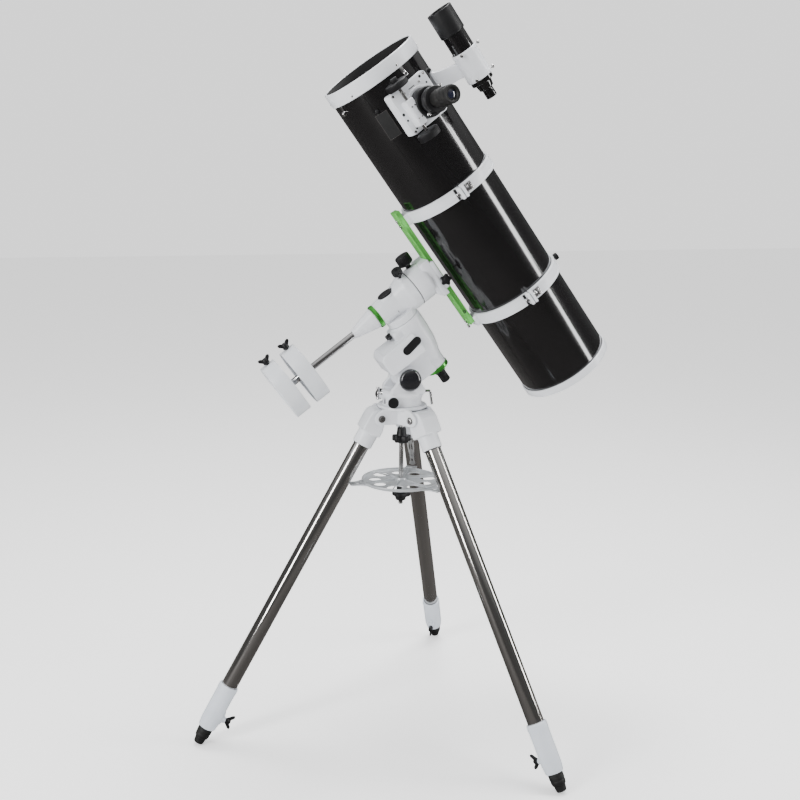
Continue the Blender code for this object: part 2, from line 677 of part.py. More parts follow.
# Declination housing: turns on the polar axle and holds the declination axle across it.
dec = turned(
    "dec_housing",
    [
        (0, DEC_TOP), (DEC_HEAD - 0.0015, DEC_TOP), (DEC_HEAD, DEC_TOP - 0.0015), (DEC_HEAD, 0.042),
        (0.041, 0.030), (DEC_WAIST, 0.008), (0.0310, -0.030), (0.0280, DEC_BOTTOM),
        (0, DEC_BOTTOM),
    ],
    head, finish="cast_white", steps=20)
add(dec, turned(
    "dec_neck",
    [(0, POLAR_START - GAP), (NECK, POLAR_START - GAP), (NECK, 0.038), (0.035, 0.010), (0, 0)],
    head, rotation=(0, pi / 2, 0), steps=20))
add(dec, turned(
    "scope_boss", [(0, 0.0300), (SCOPE_BOSS - 0.0015, 0.0300), (SCOPE_BOSS, 0.0285), (SCOPE_BOSS, 0), (0, 0)],
    head, (0, 0, 0), (0, -pi / 2, 0), steps=18))
cut(dec, turned(
    "scope_bore", rod_points(POLAR_CAP + GAP, 0.0240, 0.060), head, rotation=(0, -pi / 2, 0), steps=18))
turned(
    "polar_cap",
    [(0, 0.0345), (POLAR_CAP - 0.003, 0.0345), (POLAR_CAP, 0.0325), (POLAR_CAP, 0.0243), (0, 0.0243)],
    head, (0, 0, 0), (0, -pi / 2, 0), "black", 18)
turned(
    "dec_ring",
    [
        (0, DEC_RING_WIDE / 2), (DEC_RING - 0.001, DEC_RING_WIDE / 2), (DEC_RING, 0.0018),
        (DEC_RING - 0.0012, 0), (DEC_RING, -0.0018), (DEC_RING - 0.001, -DEC_RING_WIDE / 2),
        (0, -DEC_RING_WIDE / 2),
    ],
    head, (0, 0, DEC_BOTTOM - GAP - DEC_RING_WIDE / 2), finish="green", steps=20)
cone_start = DEC_BOTTOM - 2 * GAP - DEC_RING_WIDE
cone = turned(
    "shaft_cone",
    [
        (0, cone_start), (CONE_BASE, cone_start), (CONE_BASE, cone_start - 0.004), (0.0130, -0.114),
        (CONE_TIP, CONE_END), (0, CONE_END),
    ],
    head, finish="cast_white", steps=18)
cut(cone, turned("cone_bore", rod_points(SHAFT + GAP, CONE_END - 0.02, CONE_END + 0.030), head, steps=12))
turned(
    "weight_shaft",
    [
        (0, CONE_END + 0.029), (SHAFT, CONE_END + 0.029), (SHAFT, SHAFT_END + 0.006),
        (0.0115, SHAFT_END + 0.005), (0.0115, SHAFT_END - 0.003), (0, SHAFT_END - 0.004),
    ],
    head, finish="steel", steps=12)
dec_clutch = turned(
    "dec_clutch",
    [(0, 0.0755), (0.0115, 0.0755), (0.0135, 0.0735), (0.0135, 0.0580), (0.007, 0.0530),
     (0.007, DEC_HEAD + 0.0005), (0.004, DEC_HEAD + 0.0005), (0.004, 0.040), (0, 0.040)],
    head, (0, 0, 0.050), (0, -pi / 2, radians(22)), "black", 16)
cut(dec, turned(
    "dec_clutch_hole", rod_points(0.0045, 0.0385, 0.060), head, (0, 0, 0.050), (0, -pi / 2, radians(22)),
    steps=10))

# Counterweights: two cast discs that slide on the shaft, each locked by a wing screw.
for word, height in WEIGHT_AT.items():
    weight_frame = frame(f"weight_frame_{word}", head, (0, 0, height))
    half = WEIGHT_THICK / 2
    weight = turned(
        f"weight_{word}",
        [
            (SHAFT + BORE_GAP, half - 0.002), (0.022, half - 0.002), (0.024, half), (WEIGHT - 0.004, half),
            (WEIGHT, half - 0.004), (WEIGHT, 0.004 - half), (WEIGHT - 0.004, -half), (0.024, -half),
            (0.019, 0.014 - half), (SHAFT + BORE_GAP, 0.014 - half),
        ],
        weight_frame, finish="weight_paint", steps=24, ring=True)
    cut(weight, turned(
        f"weight_screw_hole_{word}", rod_points(WEIGHT_SCREW + BORE_GAP, 0.004, 0.09), weight_frame,
        (0, 0, 0.002), (0, -pi / 2, 0), steps=10))
    screw_frame = frame(f"weight_screw_frame_{word}", weight_frame, (0, 0, 0.002), (0, -pi / 2, 0))
    wing = turned(
        f"weight_screw_{word}",
        [(0, 0.090), (0.007, 0.090), (0.0085, WEIGHT + 0.0025), (WEIGHT_SCREW, WEIGHT + 0.0025),
         (WEIGHT_SCREW, SHAFT + 2 * GAP), (0, SHAFT + 2 * GAP)],
        screw_frame, finish="black", steps=10)
    wing_outline = [(-0.016, 0.095), (-0.016, 0.086), (-0.006, 0.078), (0.006, 0.078), (0.016, 0.086),
                    (0.016, 0.095), (0, 0.088)]
    add(wing, place(f"weight_wings_{word}", prism("wings", wing_outline, -0.003, 0.003), screw_frame))

# Saddle: the head of the declination axle, with a channel for the bar and two clamp knobs.
saddle = turned(
    "saddle",
    [(0, SADDLE_TOP - 0.010), (0.040, SADDLE_TOP - 0.010), (DEC_HEAD - 0.002, 0.100), (DEC_HEAD, 0.090),
     (DEC_HEAD, DEC_TOP + GAP + 0.0015), (DEC_HEAD - 0.0015, DEC_TOP + GAP), (0, DEC_TOP + GAP)],
    head, finish="cast_white", steps=20)
add(saddle, place(
    "saddle_plate", box("plate", SADDLE_SPAN, (-SADDLE_HALF, SADDLE_HALF), (0.108, JAW_TOP)), head))
cut(saddle, place(
    "saddle_channel",
    box("channel", (-0.2, 0.2), (-BAR_HALF - GAP, BAR_HALF + GAP), (SADDLE_TOP, 0.16)), head))
star_x, star_z = STAR_KNOB_AT
cut(saddle, turned(
    "star_hole", rod_points(0.0034, 0.015, 0.06), head, (star_x, 0, star_z - 0.0015), (pi / 2, 0, 0), steps=8))
big_x, big_z = BIG_KNOB_AT
cut(saddle, turned(
    "big_knob_hole", rod_points(0.0044, 0.0270, 0.060), head, (0, 0, big_z), (0, -pi / 2, 0), steps=10))
star_knob = turned(
    "saddle_star_knob",
    [(0, 0.0600), (0.008, 0.0600), (0.009, 0.0470), (0.005, 0.0376), (0.003, 0.0376),
     (0.003, BAR_HALF + 2 * GAP), (0, BAR_HALF + 2 * GAP)],
    head, (star_x, 0, star_z - 0.0015), (pi / 2, 0, 0), "black", 10)
add(star_knob, place(
    "star_lobes", prism("star", star(STAR_KNOB, STAR_KNOB - 0.004, 5), 0.0480, 0.0570), head,
    (star_x, 0, star_z - 0.0015), (pi, 0, 0)))
turned(
    "saddle_big_knob",
    [
        (0, -big_x), (BIG_KNOB - 0.003, -big_x), (BIG_KNOB, -big_x - 0.003), (BIG_KNOB, 0.055),
        (BIG_KNOB - 0.002, 0.053), (0.009, 0.052), (0.007, DEC_HEAD + 0.0005), (0.004, DEC_HEAD + 0.0005),
        (0.004, 0.028), (0, 0.028),
    ],
    head, (0, 0, big_z), (0, -pi / 2, 0), "black", 18)

# Dovetail bar, under the two tube rings.
bar_top = BAR_BOTTOM + BAR_THICK
bar = place(
    "dovetail_bar", box("bar", BAR_SPAN, (-BAR_HALF, BAR_HALF), (BAR_BOTTOM, bar_top)), head, finish="green")

# Tube rings: a lower half on the bar and an upper half hinged to it on the far side.
for word, middle in RING_CENTRES.items():
    half_wide = RING_WIDE / 2
    bore = TUBE_RADIUS + GAP
    ring_frame = frame(f"ring_frame_{word}", head, (middle, 0, TUBE_CENTRE), (-SPLIT, 0, 0))
    slit = SPLIT_HALF_GAP / bore
    knuckles = {
        "base": ((-half_wide, -0.0055), (0.0055, half_wide)),
        "cap": ((-0.0050, 0.0050),),
    }
    for part, turn_by in (("base", pi), ("cap", 0.0)):
        sign = 1 if part == "cap" else -1
        band = arc((0, 0), RING_OUTER, slit, pi - slit, 24) + arc((0, 0), bore, pi - slit, slit, 24)
        ring = place(
            f"ring_{part}_{word}",
            prism("band", [(x, sign * z) for x, z in band], -half_wide, half_wide),
            ring_frame, rotation=(0, 0, pi / 2), finish="cast_white")
        clamp_y = (-RING_LUG_REACH, -bore - 0.001)
        lug_low, lug_high = sorted((sign * SPLIT_HALF_GAP, sign * RING_LUG_THICK))
        add(ring, place(
            f"ring_lug_{part}_{word}",
            box("lug", (-half_wide + 0.003, half_wide - 0.003), clamp_y, (lug_low, lug_high)), ring_frame))
        far_low, far_high = sorted((sign * SPLIT_HALF_GAP, sign * 0.012))
        for count, span in enumerate(knuckles[part]):
            add(ring, place(
                f"ring_ear_{part}_{word}_{count}",
                box("ear", span, (bore + 0.001, RING_HINGE + 0.001), (far_low, far_high)), ring_frame))
            add(ring, turned(
                f"ring_knuckle_{part}_{word}_{count}", rod_points(RING_KNUCKLE, span[0], span[1]),
                ring_frame, (0, RING_HINGE, 0), (0, pi / 2, 0), steps=10))
        if part == "base":
            add(ring, turned(
                f"ring_pin_{word}", rod_points(RING_PIN, -half_wide - 0.002, half_wide + 0.002),
                ring_frame, (0, RING_HINGE, 0), (0, pi / 2, 0), steps=8))
            foot = place(
                f"ring_foot_{word}",
                box("foot", (-half_wide, half_wide), (-0.020, 0.020), (bar_top - TUBE_CENTRE + GAP, -bore - 0.002)),
                ring_frame, rotation=(SPLIT, 0, 0))
            add(ring, foot)
        else:
            cut(ring, turned(
                f"ring_pin_hole_{word}", rod_points(RING_PIN + BORE_GAP, -0.03, 0.03),
                ring_frame, (0, RING_HINGE, 0), (0, pi / 2, 0), steps=8))

# Tube: a rolled steel shell with a hole for the focuser.
tube_axis = frame("tube_frame", head, (0, 0, TUBE_CENTRE))
shell_inner = TUBE_RADIUS - TUBE_WALL
shell = turned(
    "tube",
    [(shell_inner, TUBE_BACK - GAP - 0.0015), (TUBE_RADIUS, TUBE_BACK - GAP - 0.0015),
     (TUBE_RADIUS, TUBE_FRONT + 0.0025), (shell_inner, TUBE_FRONT + 0.0025)],
    tube_axis, rotation=(0, pi / 2, 0), finish="gloss_black", steps=36, ring=True)
focus_turn = (pi / 2 - FOCUS_ANGLE, 0, 0)
cut(shell, turned(
    "focus_hole", rod_points(DRAW + 0.004, 0.06, 0.14), tube_axis, (FOCUS_X, 0, 0), focus_turn, steps=16))
over = TUBE_RADIUS + GAP
turned(
    "front_ring",
    [
        (shell_inner, TUBE_FRONT + 0.0022), (over, TUBE_FRONT + 0.0022), (over, TUBE_FRONT + FRONT_RING_WIDE),
        (END_RING, TUBE_FRONT + FRONT_RING_WIDE), (END_RING, TUBE_FRONT + 0.002),
        (END_RING - 0.002, TUBE_FRONT), (shell_inner, TUBE_FRONT),
    ],
    tube_axis, rotation=(0, pi / 2, 0), finish="cast_white", steps=36, ring=True)
turned(
    "mirror_cell",
    [
        (0, TUBE_BACK), (END_RING - 0.002, TUBE_BACK), (END_RING, TUBE_BACK - 0.002),
        (END_RING, TUBE_BACK - BACK_RING_WIDE), (over, TUBE_BACK - BACK_RING_WIDE),
        (over, TUBE_BACK - 0.0015), (0.030, TUBE_BACK - 0.0015), (0.030, TUBE_BACK - 0.020),
        (MIRROR, TUBE_BACK - 0.020), (MIRROR, TUBE_BACK - 0.042), (0, TUBE_BACK - 0.042),
    ],
    tube_axis, rotation=(0, pi / 2, 0), finish="cast_white", steps=36)

# Spider: four thin vanes and a hub that carry the slanted secondary mirror.
spider = turned(
    "spider", rod_points(0.018, VANE_X - 0.012, FOCUS_X - 0.020), tube_axis, rotation=(0, pi / 2, 0),
    finish="black", steps=12)
secondary = turned(
    "secondary", rod_points(SECONDARY, -0.030, 0.045), tube_axis, (FOCUS_X, 0, 0),
    (0, pi / 2, 0), steps=16)
slant = place(
    "secondary_cut", box("slant", (-0.1, 0.1), (-0.1, 0.1), (0.0, 0.15)), tube_axis, (FOCUS_X, 0, 0),
    (pi / 2 - FOCUS_ANGLE, radians(45), 0))
cut(secondary, slant)
add(spider, secondary)
for quarter in range(4):
    add(spider, place(
        f"vane_{quarter}",
        box("vane", (VANE_X - 0.008, VANE_X + 0.008), (-0.0005, 0.0005), (0.010, shell_inner - 0.0006)),
        tube_axis, rotation=(radians(34 + 90 * quarter), 0, 0)))

# Focuser: a saddle-shaped base with a collar, the drawtube, its twin knobs and an eyepiece.
focus = frame("focus_frame", tube_axis, (FOCUS_X, 0, 0), focus_turn)
body = place("focuser_body", box("plate", *PLATE), focus, finish="cast_white")
add(body, turned("focus_collar", rod_points(COLLAR, 0.105, COLLAR_TOP), focus, steps=18))
shaft_y, shaft_z = FOCUS_SHAFT_AT
add(body, place(
    "pinion_block",
    box("block", (-0.032, 0.032), (shaft_y - 0.010, -0.010), (0.120, shaft_z + 0.009)), focus))
cut(body, turned(
    "tube_room", rod_points(TUBE_RADIUS + GAP, -0.2, 0.2), focus, rotation=(0, pi / 2, 0), steps=56))
cut(body, turned("focus_bore", rod_points(DRAW + GAP, 0.08, 0.2), focus, steps=18))
cut(body, turned(
    "shaft_bore", rod_points(FOCUS_SHAFT + BORE_GAP, -0.1, 0.1), focus, (0, shaft_y, shaft_z),
    (0, pi / 2, 0), steps=10))
turned(
    "drawtube",
    [(DRAW_BORE, DRAW_TOP), (DRAW_FLANGE - 0.001, DRAW_TOP), (DRAW_FLANGE, DRAW_TOP - 0.001),
     (DRAW_FLANGE, DRAW_TOP - 0.018), (DRAW, DRAW_TOP - 0.019), (DRAW, 0.098), (DRAW_BORE, 0.098)],
    focus, finish="chrome", steps=18, ring=True)
turned(
    "focus_knobs",
    [
        (0, 0.066), (FOCUS_KNOB - 0.002, 0.066), (FOCUS_KNOB, 0.064), (FOCUS_KNOB, FOCUS_KNOB_IN + 0.003),
        (FOCUS_KNOB - 0.003, FOCUS_KNOB_IN), (FOCUS_SHAFT, FOCUS_KNOB_IN), (FOCUS_SHAFT, -FOCUS_KNOB_OUT + 0.012),
        (FOCUS_KNOB - 0.003, -FOCUS_KNOB_OUT + 0.012), (FOCUS_KNOB, -FOCUS_KNOB_OUT + 0.009),
        (FOCUS_KNOB, -FOCUS_KNOB_OUT - 0.001), (FOCUS_KNOB - 0.002, -FOCUS_KNOB_OUT - 0.003),
        (FINE_KNOB, -FOCUS_KNOB_OUT - 0.003), (FINE_KNOB, -FINE_KNOB_OUT), (0, -FINE_KNOB_OUT),
    ],
    focus, (0, shaft_y, shaft_z), (0, pi / 2, 0), "black", 18)
turned(
    "eyepiece",
    [
        (0, EYEPIECE_TOP - 0.005), (0.012, EYEPIECE_TOP - 0.004), (0.015, EYEPIECE_TOP),
        (EYEPIECE, EYEPIECE_TOP), (EYEPIECE, DRAW_TOP + 0.012), (0.0185, DRAW_TOP + 0.010),
        (0.0185, DRAW_TOP + GAP), (DRAW_BORE - GAP, DRAW_TOP + GAP), (DRAW_BORE - GAP, DRAW_TOP - 0.030),
        (0, DRAW_TOP - 0.030),
    ],
    focus, finish="black", steps=18)

# Finder: a small sighting scope held in a bracket ring on a stalk.
finder_turn = (pi / 2 - FINDER_ANGLE, 0, 0)
finder = frame("finder_frame", tube_axis, (0, 0, 0), finder_turn)
bracket = turned(
    "finder_bracket",
    [(FINDER + GAP, BRACKET_SPAN[1]), (BRACKET, BRACKET_SPAN[1]), (BRACKET, BRACKET_SPAN[0]),
     (FINDER + GAP, BRACKET_SPAN[0])],
    finder, (0, 0, FINDER_REACH), (0, pi / 2, 0), "cast_white", 18, ring=True)
stalk_outline = [(-0.395, 0.112), (-0.352, 0.112), (-0.348, 0.1782), (-0.380, 0.1782)]
stalk = place("stalk", prism("stalk", stalk_outline, -0.011, 0.011), finder)
cut(stalk, turned(
    "stalk_room", rod_points(TUBE_RADIUS + GAP, -0.5, 0.2), finder, rotation=(0, pi / 2, 0), steps=56))
add(bracket, stalk)
front, back = FINDER_SPAN
turned(
    "finder_scope",
    [
        (0, back), (0.0105, back), (0.013, back - 0.002), (0.013, back - 0.024), (0.016, back - 0.034),
        (0.020, BRACKET_SPAN[1] + 0.012), (FINDER, BRACKET_SPAN[1] + 0.010), (FINDER, front + 0.064),
        (FINDER_HOOD, front + 0.060), (FINDER_HOOD, front), (FINDER_HOOD - 0.002, front),
        (FINDER_HOOD - 0.003, front + 0.020), (0, front + 0.023),
    ],
    finder, (0, 0, FINDER_REACH), (0, pi / 2, 0), "gloss_black", 18)
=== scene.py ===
"""The looks of a reflecting telescope on an equatorial mount and tripod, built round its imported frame."""

import json
from math import atan2, cos, pi, radians, sin, sqrt

import bmesh
import bpy
from mathutils import Matrix, Vector


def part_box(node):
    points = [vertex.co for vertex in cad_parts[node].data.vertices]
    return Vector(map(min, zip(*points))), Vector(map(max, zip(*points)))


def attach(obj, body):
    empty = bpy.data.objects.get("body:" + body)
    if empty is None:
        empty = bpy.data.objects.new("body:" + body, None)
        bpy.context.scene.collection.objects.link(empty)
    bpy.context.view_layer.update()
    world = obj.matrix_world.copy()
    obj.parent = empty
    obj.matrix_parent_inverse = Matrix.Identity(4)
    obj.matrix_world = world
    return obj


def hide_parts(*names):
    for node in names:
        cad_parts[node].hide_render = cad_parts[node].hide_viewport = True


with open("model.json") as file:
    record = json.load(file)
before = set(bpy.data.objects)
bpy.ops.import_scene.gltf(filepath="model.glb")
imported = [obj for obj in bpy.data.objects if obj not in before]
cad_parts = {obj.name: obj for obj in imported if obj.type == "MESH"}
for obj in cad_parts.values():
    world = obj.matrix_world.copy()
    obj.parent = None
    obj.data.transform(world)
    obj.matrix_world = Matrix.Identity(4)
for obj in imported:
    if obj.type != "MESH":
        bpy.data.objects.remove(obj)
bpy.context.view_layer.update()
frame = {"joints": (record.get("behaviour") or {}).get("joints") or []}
JOINTS = {joint["name"]: joint for joint in frame["joints"]}

# ---------------------------------------------------------------- tripod hub
# The crown of the tripod is a sand casting in aluminium, shot-blasted and sprayed with
# off-white enamel. Its top is machined flat, and three pairs of ears hold the legs.


def own(name, mesh, material, body, stands_for=(), smooth_under=35):
    """A finished piece: its mesh is already in place, and it rides on one body."""
    mesh.polygons.foreach_set("use_smooth", [True] * len(mesh.polygons))
    mesh.set_sharp_from_angle(angle=radians(smooth_under))
    mesh.materials.clear()
    mesh.materials.append(material)
    piece = bpy.data.objects.new(name, mesh)
    bpy.context.scene.collection.objects.link(piece)
    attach(piece, body)
    if stands_for:
        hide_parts(*stands_for)
    return piece


def mesh_of(name, body, place=Matrix.Identity(4)):
    """Ends a bmesh: closes its seams, turns its faces outwards and puts it in place."""
    bmesh.ops.remove_doubles(body, verts=body.verts, dist=1e-6)
    bmesh.ops.recalc_face_normals(body, faces=body.faces)
    body.transform(place)
    if place.determinant() < 0:
        bmesh.ops.reverse_faces(body, faces=body.faces)
    mesh = bpy.data.meshes.new(name)
    body.to_mesh(mesh)
    body.free()
    return mesh


def soften(body, width, segments=2, above=28):
    """Rounds every edge sharper than an angle."""
    sharp = [
        edge for edge in body.edges
        if len(edge.link_faces) == 2 and edge.calc_face_angle(0.0) > radians(above)
    ]
    bmesh.ops.bevel(
        body, geom=sharp, offset=width, offset_type="OFFSET", segments=segments, profile=0.5,
        affect="EDGES", material=-1, clamp_overlap=True)


def spun(points, steps=64, ring=False):
    """A bmesh turned about Z from (radius, height) points. A ring's profile closes on itself."""
    body = bmesh.new()
    line = [body.verts.new((radius, 0, height)) for radius, height in points]
    edges = [body.edges.new(pair) for pair in zip(line, line[1:])]
    if ring:
        edges.append(body.edges.new((line[-1], line[0])))
    bmesh.ops.spin(
        body, geom=line + edges, cent=(0, 0, 0), axis=(0, 0, 1), dvec=(0, 0, 0), angle=2 * pi,
        steps=steps, use_merge=True)
    bmesh.ops.remove_doubles(body, verts=body.verts, dist=1e-6)
    bmesh.ops.dissolve_degenerate(body, edges=body.edges, dist=1e-7)
    bmesh.ops.recalc_face_normals(body, faces=body.faces)
    return body


def turned(name, points, place=Matrix.Identity(4), steps=64, ring=False, edge=0.0006):
    """A turned mesh in place, with its corners broken by a small round."""
    body = spun(points, steps, ring)
    if edge:
        soften(body, edge)
    return mesh_of(name, body, place)


def drawn(name, outline, low, high, place=Matrix.Identity(4), edge=0.001, segments=2):
    """A flat outline in XZ drawn through from y = low to y = high, with rounded edges."""
    body = bmesh.new()
    face = body.faces.new([body.verts.new((x, low, z)) for x, z in outline])
    grown = bmesh.ops.extrude_face_region(body, geom=[face])
    moved = [item for item in grown["geom"] if isinstance(item, bmesh.types.BMVert)]
    bmesh.ops.translate(body, verts=moved, vec=(0, high - low, 0))
    bmesh.ops.recalc_face_normals(body, faces=body.faces)
    if edge:
        soften(body, edge, segments)
    return mesh_of(name, body, place)


def block(name, x, y, z, place=Matrix.Identity(4), edge=0.001):
    """A rounded block between (low, high) pairs."""
    outline = [(x[0], z[0]), (x[1], z[0]), (x[1], z[1]), (x[0], z[1])]
    return drawn(name, outline, y[0], y[1], place, edge)


def cylinder(radius, low, high):
    """The profile of a plain bar."""
    return [(0, high), (radius, high), (radius, low), (0, low)]


def arc(centre, radius, start, end, count):
    """Points of an arc in the plane between two angles from +X."""
    turn = [start + (end - start) * i / count for i in range(count + 1)]
    return [(centre[0] + radius * cos(t), centre[1] + radius * sin(t)) for t in turn]


def joined(name, meshes):
    """Several closed meshes gathered into one."""
    body = bmesh.new()
    for part in meshes:
        body.from_mesh(part)
        bpy.data.meshes.remove(part)
    mesh = bpy.data.meshes.new(name)
    body.to_mesh(mesh)
    body.free()
    return mesh


def cast(name, solids, holes=(), grain=0.0011, passes=7):
    """One casting from overlapping solids less its holes, with soft fillets where they meet."""
    bulk = bpy.data.objects.new(name, joined(name, solids))
    bpy.context.scene.collection.objects.link(bulk)
    fuse = bulk.modifiers.new("fuse", "REMESH")
    fuse.mode = "VOXEL"
    fuse.voxel_size = grain
    tools = []
    if holes:
        drill = bpy.data.objects.new(name + "_drill", joined(name + "_drill", holes))
        bpy.context.scene.collection.objects.link(drill)
        bore = bulk.modifiers.new("bore", "BOOLEAN")
        bore.operation = "DIFFERENCE"
        bore.solver = "EXACT"
        bore.object = drill
        again = bulk.modifiers.new("again", "REMESH")
        again.mode = "VOXEL"
        again.voxel_size = grain
        tools.append(drill)
    relax = bulk.modifiers.new("relax", "SMOOTH")
    relax.factor = 0.5
    relax.iterations = passes
    view = bpy.context.evaluated_depsgraph_get()
    view.update()
    mesh = bpy.data.meshes.new_from_object(bulk.evaluated_get(view), depsgraph=view)
    for done in [bulk, *tools]:
        bpy.data.objects.remove(done, do_unlink=True)
    return mesh


def group(name, inputs, outputs):
    """An empty shader group with float or colour sockets, and its two end nodes."""
    tree = bpy.data.node_groups.new(name, "ShaderNodeTree")
    for label, kind, value in inputs:
        socket = tree.interface.new_socket(label, in_out="INPUT", socket_type=kind)
        if value is not None:
            socket.default_value = value
    for label, kind in outputs:
        tree.interface.new_socket(label, in_out="OUTPUT", socket_type=kind)
    return tree, tree.nodes.new("NodeGroupInput"), tree.nodes.new("NodeGroupOutput")


def wire(tree, pairs):
    """Links (node, socket) to (node, socket) for each pair."""
    for (out_node, out_socket), (in_node, in_socket) in pairs:
        tree.links.new(out_node.outputs[out_socket], in_node.inputs[in_socket])


def make(tree, kind, **values):
    """A node with its properties, and its input values given as in_NAME."""
    node = tree.nodes.new(kind)
    for label, value in values.items():
        if label.startswith("in_"):
            node.inputs[label[3:].replace("_", " ")].default_value = value
        else:
            setattr(node, label, value)
    return node


FLOAT = "NodeSocketFloat"
COLOUR = "NodeSocketColor"
VECTOR = "NodeSocketVector"


def soiled_group():
    """Soft blotches of handling and a fine grain: a tinted colour, a roughness and a height."""
    tree, start, end = group(
        "handled_surface",
        [("Vector", VECTOR, None), ("Colour", COLOUR, (0.8, 0.8, 0.8, 1)),
         ("Soil", COLOUR, (0.5, 0.5, 0.5, 1)), ("Amount", FLOAT, 0.1), ("Roughness", FLOAT, 0.4),
         ("Spread", FLOAT, 0.1), ("Blotch", FLOAT, 14.0), ("Grain", FLOAT, 900.0)],
        [("Colour", COLOUR), ("Roughness", FLOAT), ("Height", FLOAT)])
    blotch = make(tree, "ShaderNodeTexNoise", in_Detail=5.0, in_Roughness=0.6)
    ramp = make(tree, "ShaderNodeMapRange", in_From_Min=0.42, in_From_Max=0.72)
    weigh = make(tree, "ShaderNodeMath", operation="MULTIPLY")
    mix = make(tree, "ShaderNodeMix", data_type="RGBA")
    fine = make(tree, "ShaderNodeTexNoise", in_Detail=3.0, in_Roughness=0.55)
    swing = make(tree, "ShaderNodeMath", operation="SUBTRACT")
    swing.inputs[1].default_value = 0.5
    scaled = make(tree, "ShaderNodeMath", operation="MULTIPLY_ADD")
    wire(tree, [
        ((start, "Vector"), (blotch, "Vector")), ((start, "Blotch"), (blotch, "Scale")),
        ((blotch, 0), (ramp, "Value")), ((ramp, 0), (weigh, 0)), ((start, "Amount"), (weigh, 1)),
        ((weigh, 0), (mix, "Factor")), ((start, "Colour"), (mix, "A")), ((start, "Soil"), (mix, "B")),
        ((start, "Vector"), (fine, "Vector")), ((start, "Grain"), (fine, "Scale")),
        ((blotch, 0), (swing, 0)), ((swing, 0), (scaled, 0)), ((start, "Spread"), (scaled, 1)),
        ((start, "Roughness"), (scaled, 2)), ((scaled, 0), (end, "Roughness")),
        ((fine, 0), (end, "Height")),
    ])
    tree.links.new(mix.outputs[2], end.inputs["Colour"])
    for label, socket in (("Colour", 6), ("Soil", 7)):
        tree.links.new(start.outputs[label], mix.inputs[socket])
    return tree


HANDLED = soiled_group()


def finish(name, colour, soil, roughness, spread=0.1, amount=0.3, blotch=14.0, grain=900.0,
           relief=0.00002, metallic=0.0, coat=0.0, coat_roughness=0.1, ior=1.5, stretch=None,
           turn=(0, 0, 0)):
    """A material of the handled-surface kind. stretch and turn draw its pattern out along an axis."""
    material = bpy.data.materials.new(name)
    material.use_nodes = True
    tree = material.node_tree
    shader = tree.nodes["Principled BSDF"]
    shader.inputs["Metallic"].default_value = metallic
    shader.inputs["IOR"].default_value = ior
    shader.inputs["Coat Weight"].default_value = coat
    shader.inputs["Coat Roughness"].default_value = coat_roughness
    place = tree.nodes.new("ShaderNodeTexCoord")
    mapping = make(tree, "ShaderNodeMapping", vector_type="TEXTURE")
    mapping.inputs["Rotation"].default_value = turn
    mapping.inputs["Scale"].default_value = stretch or (1, 1, 1)
    look = tree.nodes.new("ShaderNodeGroup")
    look.node_tree = HANDLED
    for label, value in (
        ("Colour", (*colour, 1)), ("Soil", (*soil, 1)), ("Amount", amount), ("Roughness", roughness),
        ("Spread", spread), ("Blotch", blotch), ("Grain", grain),
    ):
        look.inputs[label].default_value = value
    bump = make(tree, "ShaderNodeBump", in_Distance=relief, in_Strength=1.0)
    wire(tree, [
        ((place, "Object"), (mapping, "Vector")), ((mapping, 0), (look, "Vector")),
        ((look, "Colour"), (shader, "Base Color")), ((look, "Roughness"), (shader, "Roughness")),
        ((look, "Height"), (bump, "Height")), ((bump, 0), (shader, "Normal")),
    ])
    return material


WHITE_ENAMEL = finish(
    "white_enamel", (0.72, 0.735, 0.765), (0.60, 0.61, 0.63), 0.34, spread=0.12, amount=0.35,
    grain=700.0, relief=0.00006, coat=0.25, coat_roughness=0.18)

HINGE = {leg: Vector(JOINTS[f"leg_fold_{leg}"]["pos_m"]) for leg in ("north", "front", "rear")}
HEADING = {leg: atan2(at.y, at.x) for leg, at in HINGE.items()}
HINGE_REACH = HINGE["front"].xy.length
HINGE_HEIGHT = HINGE["front"].z
HUB_FLOOR = 0.813
HUB_SEAT = JOINTS["azimuth_turn"]["pos_m"][2] - 0.0003
HUB_RADIUS = 0.062
EAR_INNER = 0.031
EAR_OUTER = 0.040


def about(axis, angle):
    """A turn about one of the axes."""
    return Matrix.Rotation(angle, 4, axis)


def moved(x, y, z):
    """A shift along the three axes."""
    return Matrix.Translation((x, y, z))


def facing(heading, at=(0, 0, 0)):
    """The place of a piece that faces out along a heading."""
    return moved(*at) @ about("Z", heading)


crown = [turned(
    "crown",
    [(0, HUB_SEAT), (HUB_RADIUS, HUB_SEAT), (HUB_RADIUS, HUB_SEAT - 0.0065), (0.046, HUB_SEAT - 0.0105),
     (0.0415, HUB_SEAT - 0.016), (0.0415, HUB_FLOOR), (0, HUB_FLOOR)],
    edge=0.0015)]
ear = [(0.018, HUB_SEAT - 0.004), (0.018, HUB_FLOOR)]
ear += arc((HINGE_REACH, HINGE_HEIGHT), 0.0165, radians(-95), radians(55), 14)
ear.append((HUB_RADIUS - 0.001, HUB_SEAT - 0.004))
for heading in HEADING.values():
    for low, high in ((-EAR_OUTER, -EAR_INNER), (EAR_INNER, EAR_OUTER)):
        crown.append(drawn("ear", ear, low, high, facing(heading), edge=0.0012))
        boss_low, boss_high = (low - 0.0004, low + 0.004) if low < 0 else (high - 0.004, high + 0.0004)
        crown.append(turned(
            "boss", cylinder(0.0105, boss_low, boss_high),
            facing(heading) @ moved(HINGE_REACH, 0, HINGE_HEIGHT)
            @ about("X", -pi / 2), edge=0))
crown.append(turned("peg", cylinder(0.005, HUB_SEAT - 0.004, HUB_SEAT + 0.020),
                    moved(-0.040, 0, 0)))
rod_hole = turned("rod_hole", cylinder(0.0064, HUB_FLOOR - 0.01, HUB_SEAT + 0.01), edge=0)
